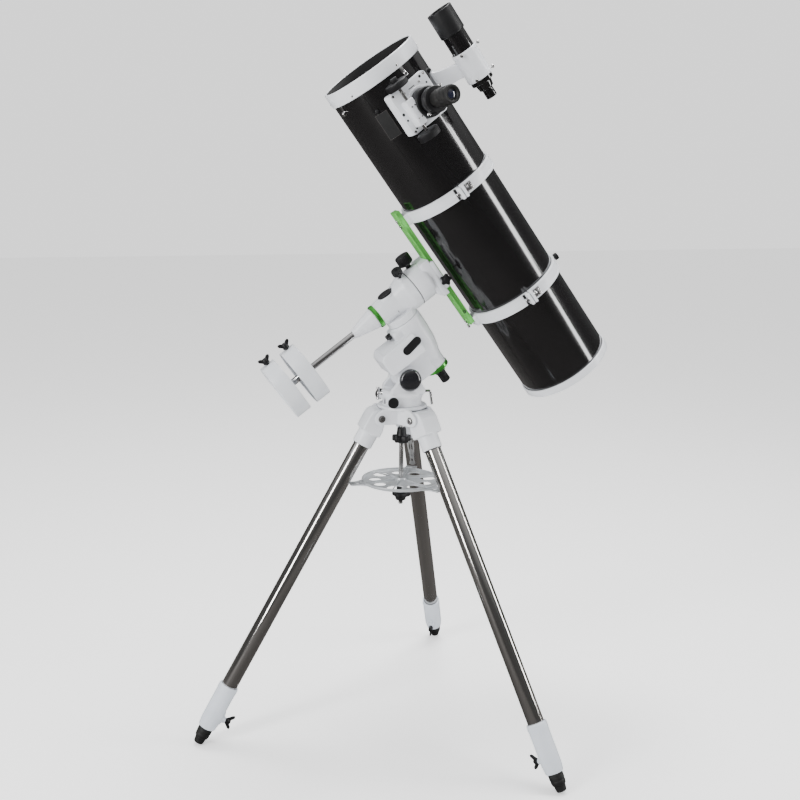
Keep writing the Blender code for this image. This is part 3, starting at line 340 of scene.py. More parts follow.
own("tripod_hub_casting", cast("tripod_hub_casting", crown, [rod_hole], passes=5),
    WHITE_ENAMEL, "hub", ["tripod_hub"])

# ---------------------------------------------------------------- leg hinge bolts
# Each leg swings on a plated steel bolt with a socket head in front and a hexagon lock nut
# behind, both over a flat washer.
PLATED_STEEL = finish(
    "plated_steel", (0.62, 0.61, 0.60), (0.42, 0.41, 0.40), 0.24, spread=0.2, amount=0.4,
    blotch=60.0, metallic=1.0, relief=0.00001)


def hexagon(across, low, high, place, edge=0.0005):
    """A hexagon nut or head with its corners chamfered."""
    outline = [(across / sqrt(3) * cos(radians(60 * i)), across / sqrt(3) * sin(radians(60 * i)))
               for i in range(6)]
    return drawn("hexagon", outline, low, high, place @ about("X", pi / 2), edge)


def socket_head(radius, height, place, key=0.0026):
    """A cap head with a hexagon socket, standing on local Z = 0."""
    body = spun([(key * 1.25, height), (radius, height), (radius, 0), (0, 0)], 48)
    rim = [edge for edge in body.edges if edge.is_boundary]
    sunk = bmesh.ops.extrude_edge_only(body, edges=rim)
    low = [item for item in sunk["geom"] if isinstance(item, bmesh.types.BMVert)]
    for vert in low:
        vert.co.z -= height * 0.6
        vert.co.xy *= 0.9
    inner_rim = [item for item in sunk["geom"] if isinstance(item, bmesh.types.BMEdge)]
    bmesh.ops.contextual_create(body, geom=inner_rim)
    soften(body, 0.0004)
    return mesh_of("socket_head", body, place)


for leg, heading in HEADING.items():
    across = moved(*HINGE[leg]) @ about("Z", heading) @ about("X", -pi / 2)
    near_head = across @ moved(0, 0, EAR_OUTER + 0.0018)
    parts = [
        turned("shank", cylinder(0.0040, -0.0455, 0.043), across),
        turned("washer_a", [(0.004, 0.0418), (0.0092, 0.0418), (0.0092, 0.0404), (0.004, 0.0404)], across,
               ring=True, edge=0.0003),
        turned("washer_b", [(0.004, -0.0404), (0.0092, -0.0404), (0.0092, -0.0418), (0.004, -0.0418)],
               across, ring=True, edge=0.0003),
        socket_head(0.0068, 0.0048, near_head),
        hexagon(0.0125, 0.0418, 0.0460, across @ about("X", pi)),
    ]
    own(f"leg_bolt_{leg}_plated", joined(f"leg_bolt_{leg}_plated", parts), PLATED_STEEL, "hub",
        [f"leg_bolt_{leg}"])

# ---------------------------------------------------------------- legs
# Each leg is a white cast knuckle, a polished stainless tube clamped in it, a grey cast
# clamp at the foot of that tube, and an inner tube that slides out and ends in a black tip.
FOOT_CIRCLE = 0.532
TILT = atan2(FOOT_CIRCLE - HINGE_REACH, HINGE_HEIGHT)
TIP = 0.012
LEG_LENGTH = (HINGE_HEIGHT - TIP * sin(TILT)) / cos(TILT)
OUTER_TUBE = 0.0203
INNER_TUBE = 0.0163
SOCKET = OUTER_TUBE + 0.0050
SOCKET_END = 0.082
TUBE_END = 0.845
CLAMP_START = 0.778
CLAMP_END = 0.900
SCREW_AT = 0.868


def leg_place(leg):
    """The place of a leg, down from its hinge."""
    return moved(*HINGE[leg]) @ about("Z", HEADING[leg]) @ about("Y", -TILT)


GREY_ENAMEL = finish(
    "grey_enamel", (0.62, 0.66, 0.72), (0.48, 0.52, 0.57), 0.42, spread=0.12, amount=0.4,
    grain=650.0, relief=0.00008, coat=0.15, coat_roughness=0.3)
BLACK_PLASTIC = finish(
    "black_plastic", (0.0065, 0.0065, 0.0075), (0.016, 0.016, 0.017), 0.45, spread=0.15, amount=0.3,
    grain=1500.0, relief=0.00005)
TIP_RUBBER = finish(
    "tip_rubber", (0.007, 0.007, 0.007), (0.030, 0.028, 0.026), 0.62, spread=0.2, amount=0.5,
    blotch=40.0, grain=900.0, relief=0.0001)


def leg_steel(leg):
    """Polished stainless tube, with fine drawing lines that run along the leg."""
    return finish(
        f"leg_steel_{leg}", (0.66, 0.64, 0.62), (0.50, 0.48, 0.45), 0.15, spread=0.12, amount=0.35,
        blotch=90.0, grain=2600.0, relief=0.000012, metallic=1.0, stretch=(1, 1, 60),
        turn=(0, -TILT, HEADING[leg]))


knuckle = arc((0, 0), 0.0195, radians(205), radians(70), 14)
knuckle += [(0.0205, 0.0115), (0.0252, 0.0040), (0.0272, -0.006), (0.0266, -0.030), (0.0258, -0.046)]
knuckle += [(-0.0235, -0.046), (-0.0225, -0.026)]
solids = [
    drawn("knuckle", knuckle, -0.0305, 0.0305, edge=0.004, segments=3),
    turned("socket", [(0, -0.020), (SOCKET + 0.0004, -0.030), (SOCKET, -SOCKET_END), (0, -SOCKET_END)],
           edge=0.001),
]
holes = [
    turned("bore", cylinder(OUTER_TUBE + 0.0003, -0.12, -0.026), edge=0),
    turned("pin_hole", cylinder(0.0044, -0.05, 0.05), about("X", -pi / 2), edge=0),
]
knuckle_mesh = cast("leg_knuckle", solids, holes, grain=0.0010, passes=6)

wing = [(-0.017, 0.0565), (-0.0185, 0.0535), (-0.0165, 0.0490), (-0.0070, 0.0380), (0.0070, 0.0380),
        (0.0165, 0.0490), (0.0185, 0.0535), (0.017, 0.0565), (0.0120, 0.0560), (0.0060, 0.0500),
        (0, 0.0485), (-0.0060, 0.0500), (-0.0120, 0.0560)]
for leg in HINGE:
    place = leg_place(leg)
    steel = leg_steel(leg)
    casting = knuckle_mesh.copy()
    casting.transform(place)
    own(f"leg_knuckle_{leg}", casting, WHITE_ENAMEL, f"leg_{leg}", [f"leg_casting_{leg}"])
    own(f"leg_outer_tube_{leg}", turned(
        "outer_tube",
        [(OUTER_TUBE - 0.0014, -0.0265), (OUTER_TUBE, -0.0265), (OUTER_TUBE, -TUBE_END),
         (OUTER_TUBE - 0.0014, -TUBE_END)],
        place, steps=96, ring=True, edge=0.0003), steel, f"leg_{leg}", [f"leg_tube_{leg}"])
    own(f"leg_seam_{leg}", turned(
        "seam",
        [(OUTER_TUBE, -SOCKET_END + 0.001), (SOCKET - 0.0022, -SOCKET_END + 0.001),
         (SOCKET - 0.0028, -SOCKET_END - 0.0012), (OUTER_TUBE, -SOCKET_END - 0.0016)],
        place, steps=72, ring=True, edge=0.0003), BLACK_PLASTIC, f"leg_{leg}")
    clamp = turned(
        "clamp",
        [
            (OUTER_TUBE + 0.0002, -CLAMP_START), (SOCKET - 0.0022, -CLAMP_START),
            (SOCKET, -CLAMP_START - 0.003), (SOCKET + 0.0003, -CLAMP_START - 0.014),
            (SOCKET - 0.0005, -CLAMP_START - 0.018), (SOCKET - 0.0008, -CLAMP_END + 0.020),
            (SOCKET - 0.0030, -CLAMP_END + 0.002), (SOCKET - 0.0045, -CLAMP_END),
            (INNER_TUBE + 0.0003, -CLAMP_END), (INNER_TUBE + 0.0003, -TUBE_END - 0.0003),
            (OUTER_TUBE + 0.0002, -TUBE_END - 0.0003),
        ],
        steps=80, ring=True, edge=0.0010)
    inward = moved(0, 0, -SCREW_AT) @ about("Y", -pi / 2)
    boss = turned("boss", [(0.0041, 0.0345), (0.0078, 0.0345), (0.0095, 0.0180), (0.0041, 0.0180)],
                  inward, ring=True, edge=0.0010)
    rib_outline = [(-0.0270, -SCREW_AT - 0.016), (-0.0330, -SCREW_AT), (-0.0275, -SCREW_AT + 0.022),
                   (-0.0230, -SCREW_AT + 0.022), (-0.0230, -SCREW_AT - 0.016)]
    rib = drawn("rib", rib_outline, -0.0022, 0.0022, edge=0.0008)
    clamp_mesh = joined(f"leg_clamp_cast_{leg}", [clamp, boss, rib])
    clamp_mesh.transform(place)
    own(f"leg_clamp_cast_{leg}", clamp_mesh, GREY_ENAMEL, f"leg_{leg}", [f"leg_clamp_{leg}"])
    screw_parts = [
        turned("stem", cylinder(0.0035, INNER_TUBE + 0.0006, 0.040), inward, edge=0.0003),
        turned("hub", [(0, 0.0500), (0.0050, 0.0500), (0.0062, 0.0470), (0.0070, 0.0372), (0, 0.0372)],
               inward, edge=0.0006),
        drawn("wing", wing, -0.0022, 0.0022, inward, edge=0.0009, segments=3),
    ]
    screw = joined(f"leg_wing_screw_{leg}", screw_parts)
    screw.transform(place)
    own(f"leg_wing_screw_{leg}", screw, BLACK_PLASTIC, f"leg_screw_{leg}", [f"leg_screw_{leg}"])
    own(f"leg_inner_tube_{leg}", turned(
        "inner_tube",
        [(INNER_TUBE - 0.0014, -0.402), (INNER_TUBE, -0.402), (INNER_TUBE, -CLAMP_END - 0.006),
         (INNER_TUBE - 0.0014, -CLAMP_END - 0.006)],
        place, steps=80, ring=True, edge=0.0003), steel, f"foot_{leg}", [f"leg_foot_{leg}"])
    own(f"leg_tip_{leg}", turned(
        "tip",
        [
            (0, -CLAMP_END - 0.0040), (0.0172, -CLAMP_END - 0.0025), (0.0185, -CLAMP_END - 0.0040),
            (0.0185, -CLAMP_END - 0.0150), (0.0176, -CLAMP_END - 0.0160), (0.0176, -CLAMP_END - 0.0190),
            (0.0182, -CLAMP_END - 0.0200), (0.0168, -CLAMP_END - 0.0275), (0.0140, -CLAMP_END - 0.0300),
            (0.0132, -LEG_LENGTH + 0.0060), (TIP, -LEG_LENGTH + 0.0010), (TIP - 0.001, -LEG_LENGTH),
            (0, -LEG_LENGTH),
        ],
        place, steps=64, edge=0.0004), TIP_RUBBER, f"foot_{leg}")

# ---------------------------------------------------------------- centre rod
# A steel rod hangs from the hub. Its threaded top holds the mount down, and a five-lobed
# black hand knob moulded round the rod turns it.
ROD = 0.00575
KNOB_HEIGHT = JOINTS["centre_rod_turn"]["pos_m"][2]
ROD_STEEL = finish(
    "rod_steel", (0.55, 0.54, 0.53), (0.36, 0.35, 0.34), 0.26, spread=0.2, amount=0.4, blotch=80.0,
    grain=2000.0, relief=0.00002, metallic=1.0, stretch=(1, 1, 30))


def lobed(mean, swing, lobes, count=72, sharpness=0.75):
    """The outline of a hand knob whose lobes swell and dip round its axis."""
    outline = []
    for i in range(count):
        turn = 2 * pi * i / count
        wave = cos(lobes * turn)
        wave = (1 if wave > 0 else -1) * abs(wave) ** sharpness
        outline.append(((mean + swing * wave) * cos(turn), (mean + swing * wave) * sin(turn)))
    return outline


def hand_knob(name, outline, low, high, place, edge=0.0025):
    """A lobed knob standing on local Z, with well rounded edges."""
    return drawn(name, outline, low, high, place @ about("X", pi / 2), edge, 3)


def threaded(radius, low, high, place=Matrix.Identity(4), pitch=0.00175):
    """A threaded length of bar: its ridges are turned one by one, without their helix."""
    points = [(0, high), (radius * 0.88, high)]
    ridges = int((high - low) / pitch)
    for i in range(ridges):
        top = high - pitch * (i + 0.25)
        points += [(radius, top), (radius * 0.89, top - pitch / 2)]
    points += [(radius * 0.88, low), (0, low)]
    return turned("thread", points, place, steps=32, edge=0)


def six_mm_thread(low, high, place):
    """The thread of a 6 mm screw."""
    return threaded(0.0030, low, high, place, 0.001)


def eight_mm_thread(low, high, place):
    """The thread of an 8 mm screw."""
    return threaded(0.0040, low, high, place, 0.00125)


own("centre_rod_steel", joined("centre_rod_steel", [
    threaded(ROD, HUB_FLOOR - 0.012, 0.867),
    turned("rod", cylinder(ROD - 0.0001, 0.6505, HUB_FLOOR - 0.011), edge=0.0004),
    threaded(ROD, 0.595, 0.652),
]), ROD_STEEL, "centre_rod", ["centre_rod"])
up_to_knob = moved(0, 0, KNOB_HEIGHT)
own("head_hand_knob", joined("head_hand_knob", [
    turned("collar", [(ROD, 0.0290), (0.0095, 0.0290), (0.0110, 0.0270), (0.0130, 0.0080),
                      (0.0150, 0.0050), (0.0150, -0.0060), (0.0105, -0.0115), (ROD, -0.0115)],
                      up_to_knob, ring=True, edge=0.0012),
    hand_knob("lobes", lobed(0.0208, 0.0040, 5), -0.0080, 0.0080, up_to_knob, 0.0030),
]), BLACK_PLASTIC, "centre_rod")

# ---------------------------------------------------------------- spreader tray
# The tray is a pressed and pierced alloy dish with a rolled rim. Three arms grow out of it
# and brace the legs, and its centre boss slides on the rod.
TRAY_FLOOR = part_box("spreader_tray")[0][2]
TRAY_RADIUS = 0.100
TRAY_ALLOY = finish(
    "tray_alloy", (0.56, 0.58, 0.60), (0.43, 0.45, 0.47), 0.36, spread=0.15, amount=0.45,
    blotch=30.0, grain=1100.0, relief=0.00006, metallic=0.35, coat=0.2, coat_roughness=0.25)


def tray_outline():
    """The dish with an arm towards each leg, each arm hollowed at its sides."""
    outline = []
    root = radians(17)
    edge = ((0.1045, 0.0210), (0.1110, 0.0165), (0.1200, 0.0145), (0.1300, 0.0150), (0.1342, 0.0135))
    for heading in sorted(HEADING.values()):
        outline += arc((0, 0), TRAY_RADIUS - 0.002, heading - radians(103), heading - root, 24)
        along = Vector((cos(heading), sin(heading)))
        aside = Vector((-along.y, along.x))
        for reach, half in edge:
            outline.append(tuple(along * reach - aside * half))
        for reach, half in reversed(edge):
            outline.append(tuple(along * reach + aside * half))
    return outline


def body_of_curve(name, curve):
    """The surface of a curve, as a bmesh."""
    helper = bpy.data.objects.new(name, curve)
    bpy.context.scene.collection.objects.link(helper)
    mesh = bpy.data.meshes.new_from_object(helper)
    bpy.data.objects.remove(helper)
    body = bmesh.new()
    body.from_mesh(mesh)
    bpy.data.meshes.remove(mesh)
    return body


def pierced(name, outlines, thick, bevel, place):
    """A flat sheet from one outline with others cut out of it, with rounded edges."""
    curve = bpy.data.curves.new(name, "CURVE")
    curve.dimensions = "2D"
    curve.fill_mode = "BOTH"
    curve.extrude = thick / 2 - bevel
    curve.bevel_depth = bevel
    curve.bevel_resolution = 2
    curve.offset = -bevel
    for outline in outlines:
        spline = curve.splines.new("POLY")
        spline.points.add(len(outline) - 1)
        for point, (x, y) in zip(spline.points, outline):
            point.co = (x, y, 0, 1)
        spline.use_cyclic_u = True
    return mesh_of(name, body_of_curve(name, curve), place)


holes = [arc((0, 0), 0.0100, 0, 2 * pi, 40)[:-1]]
for heading in HEADING.values():
    for offset, reach, radius in ((20, 0.066, 0.0160), (60, 0.070, 0.0200), (100, 0.066, 0.0160)):
        at = heading + radians(offset)
        holes.append(arc((reach * cos(at), reach * sin(at)), radius, 0, 2 * pi, 40)[:-1])
    holes.append(arc((0.114 * cos(heading), 0.114 * sin(heading)), 0.0065, 0, 2 * pi, 24)[:-1])
sheet_place = moved(0, 0, TRAY_FLOOR + 0.0030)
tray_parts = [
    pierced("sheet", [tray_outline(), *holes], 0.0036, 0.0007, sheet_place),
    turned("rim", [(0.0925, 0.0020), (0.0955, 0.0020), (0.0980, 0.0088), (TRAY_RADIUS, 0.0088),
                   (TRAY_RADIUS, 0.0062), (0.0975, 0.0006), (0.0925, 0.0003)],
           moved(0, 0, TRAY_FLOOR), steps=128, ring=True, edge=0.0007),
    turned("boss", [(ROD + 0.0004, 0.0118), (0.0120, 0.0118), (0.0145, 0.0060), (0.0180, 0.0040),
                    (0.0180, 0.0018), (0.0120, 0.0002), (ROD + 0.0004, 0.0002)],
           moved(0, 0, TRAY_FLOOR), ring=True, edge=0.0007),
]
for heading in HEADING.values():
    for offset in (0, 60):
        at = heading + radians(offset)
        rib = [(0.016, 0.0045), (0.090, 0.0045), (0.092, 0.0070), (0.060, 0.0076), (0.018, 0.0098)]
        tray_parts.append(drawn("rib", rib, -0.0014, 0.0014, facing(at, (0, 0, TRAY_FLOOR)), edge=0.0006))
own("spreader_tray_pressing", joined("spreader_tray_pressing", tray_parts), TRAY_ALLOY, "tray",
    ["spreader_tray"])

# ---------------------------------------------------------------- tray knob
# A three-lobed black hand nut runs on the rod's lower thread and pushes the tray up
# against the legs. A brass insert carries its thread.
TRAY_KNOB_HEIGHT = 0.620
up_to_tray_knob = moved(0, 0, TRAY_KNOB_HEIGHT)
own("tray_hand_knob", joined("tray_hand_knob", [
    turned("neck", [(ROD + 0.0004, 0.0330), (0.0105, 0.0330), (0.0115, 0.0315), (0.0105, 0.0120),
                    (0.0150, 0.0080), (0.0150, -0.0050), (0.0115, -0.0150), (ROD + 0.0004, -0.0150)],
           up_to_tray_knob, ring=True, edge=0.0012),
    hand_knob("lobes", lobed(0.0213, 0.0043, 3), -0.0060, 0.0060, up_to_tray_knob, 0.0028),
]), BLACK_PLASTIC, "tray_knob", ["tray_knob"])

# ---------------------------------------------------------------- azimuth base
# The base of the mount is a white casting that turns on the hub. A fork on top holds the
# polar housing, and bosses at its sides take the azimuth and altitude screws.
PIN_AT = Vector(JOINTS["altitude_tilt"]["pos_m"])
PEG_X = -0.040
AZIMUTH_Z = 0.872
ALTITUDE_SCREW_Z = 0.886
FORK_INNER = 0.0325
FORK_OUTER = 0.0448
seat = HUB_SEAT + 0.0003
fork = [(-0.0405, 0.8880), (0.0470, 0.8880), (0.0455, 0.9020)]
fork += arc((PIN_AT.x, PIN_AT.z), 0.0305, radians(-12), radians(190), 26)
fork.append((-0.0400, 0.9010))
solids = [turned(
    "drum",
    [(0, 0.8950), (0.0460, 0.8950), (0.0490, 0.8925), (0.0535, 0.8880), (0.0538, 0.8830),
     (0.0500, 0.8765), (0.0488, 0.8700), (0.0488, seat), (0, seat)], edge=0.0012)]
for side in (-1, 1):
    low, high = sorted((side * (FORK_INNER - 0.001), side * FORK_OUTER))
    solids.append(drawn("fork", fork, low, high, edge=0.0025, segments=3))
    out = moved(PEG_X, 0, AZIMUTH_Z) @ about("X", -side * pi / 2)
    solids.append(turned("boss", [(0, 0.0452), (0.0088, 0.0452), (0.0100, 0.020), (0, 0.020)], out,
                         edge=0.001))
for x_out in (-1, 1):
    out = moved(0, 0, ALTITUDE_SCREW_Z) @ about("Y", x_out * pi / 2)
    solids.append(turned("boss", [(0, 0.0528), (0.0085, 0.0528), (0.0100, 0.0440), (0, 0.0440)], out,
                         edge=0.001))
holes = [
    block("fork_gap", (-0.070, 0.070), (-FORK_INNER, FORK_INNER), (0.8957, 0.990), edge=0),
    block("lug_room", (-0.018, 0.030), (-0.014, 0.014), (0.8745, 0.960), edge=0),
    turned("screw_bore", cylinder(0.0045, -0.09, 0.09),
           moved(0, 0, ALTITUDE_SCREW_Z) @ about("Y", pi / 2), edge=0),
    turned("push_bore", cylinder(0.0035, -0.09, 0.09),
           moved(PEG_X, 0, AZIMUTH_Z) @ about("X", pi / 2), edge=0),
    turned("pin_bore", cylinder(0.0064, -0.09, 0.09),
           moved(*PIN_AT) @ about("X", pi / 2), edge=0),
    block("peg_room", (-0.0475, -0.0325), (-0.0125, 0.0125), (0.850, 0.8785), edge=0),
    turned("rod_room", cylinder(0.0064, 0.850, 0.869), edge=0),
]
own("azimuth_base_casting", cast("azimuth_base_casting", solids, holes, passes=5),
    WHITE_ENAMEL, "azimuth_base", ["azimuth_base"])
own("azimuth_seat_ring", turned(
    "seat_ring", [(0.0470, seat + 0.0035), (0.0500, seat + 0.0035), (0.0506, seat + 0.0020),
                  (0.0500, seat + 0.0001), (0.0470, seat + 0.0001)],
                  steps=96, ring=True, edge=0.0003), WHITE_ENAMEL, "azimuth_base")

# ---------------------------------------------------------------- azimuth screws
# Two black hand screws face each other across the base and push the hub's peg from either
# side. Their heads are moulded, with fine ridges round the rim.


def fluted(name, rings, flutes, place=Matrix.Identity(4), depth=0.0005, per=4):
    """A turned knob whose marked rings are ridged. rings holds (radius, height, ridged) from the top."""
    body = bmesh.new()
    last = None
    count = flutes * per
    for radius, height, ridged in rings:
        made = bmesh.ops.create_circle(body, cap_ends=False, radius=max(radius, 1e-5),
                                       segments=count)["verts"]
        for i, vert in enumerate(made):
            dip = depth if ridged and i % per >= per / 2 else 0.0
            vert.co = vert.co * ((radius - dip) / max(radius, 1e-5)) + Vector((0, 0, height))
        loop = list({edge for vert in made for edge in vert.link_edges if edge.other_vert(vert) in made})
        if last:
            bmesh.ops.bridge_loops(body, edges=last + loop)
        else:
            bmesh.ops.contextual_create(body, geom=made)
        last = loop
    bmesh.ops.contextual_create(body, geom=last)
    return mesh_of(name, body, place)


for word, side in (("front", -1), ("rear", 1)):
    out = moved(PEG_X, 0, AZIMUTH_Z) @ about("X", -side * pi / 2)
    own(f"azimuth_hand_screw_{word}", joined(f"azimuth_hand_screw_{word}", [
        fluted("head", [(0.0060, 0.0592, False), (0.0112, 0.0600, False), (0.0130, 0.0594, False),
                        (0.0139, 0.0582, True), (0.0140, 0.0560, True), (0.0136, 0.0548, True),
                        (0.0120, 0.0541, False), (0.0060, 0.0540, False)], 36, out),
        six_mm_thread(0.0056, 0.0545, out),
    ]), BLACK_PLASTIC, f"azimuth_knob_{word}", [f"azimuth_knob_{word}"])

# ---------------------------------------------------------------- altitude screws
# A plated T-screw on the north side and a bent steel lever screw on the south side pinch
# the lug of the polar housing between their tips, and so set its height.
CHROME = finish(
    "bright_plate", (0.76, 0.75, 0.75), (0.55, 0.55, 0.56), 0.17, spread=0.12, amount=0.3,
    blotch=90.0, metallic=1.0, relief=0.000006)
LUG_HALF = 0.004
T_HANDLE_X = -0.0625
LEVER_X = 0.076
north = moved(0, 0, ALTITUDE_SCREW_Z) @ about("Y", -pi / 2)
SCREW_POINT = 0.0025


def pointed_screw(tip, end, place):
    """An 8 mm screw whose end is turned to a fine point, so that two can press on one lug."""
    root = tip + SCREW_POINT
    return [
        eight_mm_thread(root, end, place),
        turned("point", [(0, root + 0.0006), (0.0035, root + 0.0006), (0.0035, root), (0.0009, tip),
                         (0, tip)], place,
               steps=32, edge=0),
    ]


own("altitude_t_handle", joined("altitude_t_handle", [
    *pointed_screw(LUG_HALF - PIN_AT.x + 0.0006, 0.0600, north),
    turned("hub", [(0, 0.0665), (0.0040, 0.0665), (0.0056, 0.0650), (0.0056, 0.0602), (0.0048, 0.0592),
                   (0, 0.0592)],
           north, edge=0.0006),
    turned("bar", [(0, 0.0160), (0.0030, 0.0160), (0.0044, 0.0150), (0.0046, 0.0125), (0.0032, 0.0100),
                   (0.0031, 0.0), (0.0032, -0.0100), (0.0046, -0.0125), (0.0044, -0.0150),
                   (0.0030, -0.0160), (0, -0.0160)], moved(T_HANDLE_X, 0, ALTITUDE_SCREW_Z), edge=0.0005),
]), CHROME, "t_screw", ["altitude_t_screw"])


def bent_bar(name, points, radius, sides=12, bend=0.006):
    """A round bar along a line of points, its corners taken as even bends."""
    route = [Vector(points[0])]
    for before, corner, after in zip(points, points[1:], points[2:]):
        corner = Vector(corner)
        start = corner + (Vector(before) - corner).normalized() * bend
        end = corner + (Vector(after) - corner).normalized() * bend
        for i in range(9):
            t = i / 8
            route.append(start * (1 - t) ** 2 + corner * 2 * t * (1 - t) + end * t * t)
    route.append(Vector(points[-1]))
    curve = bpy.data.curves.new(name, "CURVE")
    curve.dimensions = "3D"
    curve.bevel_depth = radius
    curve.bevel_resolution = sides // 4 + 1
    curve.use_fill_caps = True
    spline = curve.splines.new("POLY")
    spline.points.add(len(route) - 1)
    for point, at in zip(spline.points, route):
        point.co = (*at, 1)
    return mesh_of(name, body_of_curve(name, curve))


south = moved(0, 0, ALTITUDE_SCREW_Z) @ about("Y", pi / 2)
own("altitude_lever", joined("altitude_lever", [
    *pointed_screw(LUG_HALF + PIN_AT.x + 0.0006, 0.0600, south),
    bent_bar("lever", [(0.0580, 0, ALTITUDE_SCREW_Z), (LEVER_X - 0.002, 0, ALTITUDE_SCREW_Z + 0.0005),
                       (LEVER_X + 0.0035, 0, 0.8505)], 0.0033),
]), ROD_STEEL, "lever_screw", ["altitude_lever_screw"])

# ---------------------------------------------------------------- altitude pin
# The polar housing tips on a steel cross pin. Its front end is covered by a domed cap in
# glossy black, and a lock nut sits behind.
GLOSS_BLACK = finish(
    "gloss_cap", (0.010, 0.010, 0.012), (0.03, 0.03, 0.03), 0.10, spread=0.05, amount=0.2,
    relief=0.000004, coat=1.0, coat_roughness=0.04)
pin_out = moved(*PIN_AT) @ about("X", pi / 2)
dome = [(0, 0.0600)]
dome += [(0.0262 * sin(t), 0.0503 + 0.0097 * cos(t)) for t in (radians(6 * i) for i in range(1, 15))]
dome += [(0.0272, 0.0500), (0.0280, 0.0490), (0.0280, 0.0455), (0, 0.0455)]
own("altitude_cap", turned("cap", dome, pin_out, steps=96, edge=0), GLOSS_BLACK, "azimuth_base",
    ["altitude_pin"])
own("altitude_cross_pin", joined("altitude_cross_pin", [
    turned("pin", cylinder(0.0060, -0.0500, 0.0460), pin_out, edge=0.0004),
    turned("washer", [(0.006, -0.0450), (0.0130, -0.0450), (0.0130, -0.0466), (0.006, -0.0466)], pin_out,
           ring=True),
    hexagon(0.0190, 0.0466, 0.0525, pin_out @ about("X", pi), 0.0009),
]), PLATED_STEEL, "azimuth_base")

# ---------------------------------------------------------------- polar housing
# The polar housing is a white casting round the polar axle: a barrel that narrows to its
# tail, a square motor case under it, and an arm and lug that go down into the fork.
CROSSING = Vector(JOINTS["polar_turn"]["pos_m"])
DOWN_AXIS = Vector(JOINTS["polar_turn"]["axis"]).normalized()
UP_AXIS = Vector(JOINTS["dec_turn"]["axis"]).normalized()
ACROSS = UP_AXIS.cross(DOWN_AXIS)
HEAD = Matrix((DOWN_AXIS, ACROSS, UP_AXIS)).transposed().to_4x4()
HEAD.translation = CROSSING
DOWN_X = about("Y", pi / 2)
UP_X = about("Y", -pi / 2)
pivot = HEAD.inverted() @ PIN_AT
POLAR_START = 0.0480
POLAR_END = 0.1995
POLAR_CLUTCH_X = 0.060
straight_down = HEAD.to_3x3().inverted() @ Vector((0, 0, -1))
lug_turn = moved(*pivot) @ about("Y", -atan2(straight_down.z, straight_down.x))
arm = [(0.090, -0.010), (0.090, -0.062), (pivot.x - 0.0285, pivot.z + 0.006)]
arm += arc((pivot.x, pivot.z), 0.0285, radians(186), radians(352), 20)
arm += [(POLAR_END - 0.0035, -0.060), (POLAR_END - 0.0035, -0.010)]
case = [(0.073, -0.010), (0.073, -0.101), (0.085, -0.113), (0.124, -0.113), (0.130, -0.107),
        (0.130, -0.006)]
solids = [
    turned("barrel", [
        (0, POLAR_START), (0.0415, POLAR_START), (0.0430, POLAR_START + 0.0015), (0.0432, 0.0700),
        (0.0425, 0.0900), (0.0398, 0.1250), (0.0350, 0.1480), (0.0305, 0.1620), (0.0287, 0.1720),
        (0.0285, POLAR_END), (0, POLAR_END)],
        HEAD @ DOWN_X, steps=96, edge=0.0006),
    drawn("case", case, -0.0600, 0.0300, HEAD, edge=0.0035, segments=3),
    drawn("arm", arm, -0.0322, 0.0322, HEAD, edge=0.0030, segments=3),
    block("lug", (0.0, 0.0448), (-0.012, 0.012), (-LUG_HALF, LUG_HALF), HEAD @ lug_turn, edge=0.0005),
    block("shoulder", (0.052, 0.095), (-0.0340, 0.0300), (-0.050, 0.0), HEAD, edge=0.006),
]
holes = [
    turned("pin_bore", cylinder(0.0064, -0.08, 0.08), moved(*PIN_AT) @ about("X", pi / 2), edge=0),
    turned("clutch_bore", cylinder(0.0036, 0.030, 0.070),
           HEAD @ moved(POLAR_CLUTCH_X, 0, 0) @ about("X", pi), edge=0),
]
own("polar_housing_casting", cast("polar_housing_casting", solids, holes, grain=0.0012, passes=6),
    WHITE_ENAMEL, "polar_housing", ["polar_housing"])

oval = arc((0, 0.0170), 0.0108, 0, pi, 20) + arc((0, -0.0170), 0.0108, pi, 2 * pi, 20)
lean = HEAD @ moved(0.0960, -0.0602, -0.0300) @ about("Y", radians(-8))
own("motor_port_cover", drawn("cover", oval, -0.0016, 0.0, lean, edge=0.0007, segments=3),
    BLACK_PLASTIC, "polar_housing")
own("motor_port_rim", drawn(
    "rim", [(x * 1.09, z * 1.05) for x, z in oval], -0.0003, 0.0004, lean, edge=0.0002), WHITE_ENAMEL,
    "polar_housing")
lid = [(0.0775, -0.0990), (0.0870, -0.1088), (0.1215, -0.1088), (0.1262, -0.1040), (0.1262, -0.0120),
       (0.0775, -0.0120)]
own("motor_case_lid", joined("motor_case_lid", [
    drawn("lid", lid, 0.0296, 0.0315, HEAD, edge=0.0006),
    block("label_step", (0.0715, 0.0733), (-0.0520, 0.0220), (-0.0960, -0.0150), HEAD, edge=0.0005),
    *[turned("screw", cylinder(0.0022, 0.0, 0.0330),
             HEAD @ moved(x, 0.0, z) @ about("X", -pi / 2), edge=0.0004)
      for x, z in ((0.0820, -0.0180), (0.1220, -0.0180), (0.1215, -0.1030))],
]), WHITE_ENAMEL, "polar_housing")

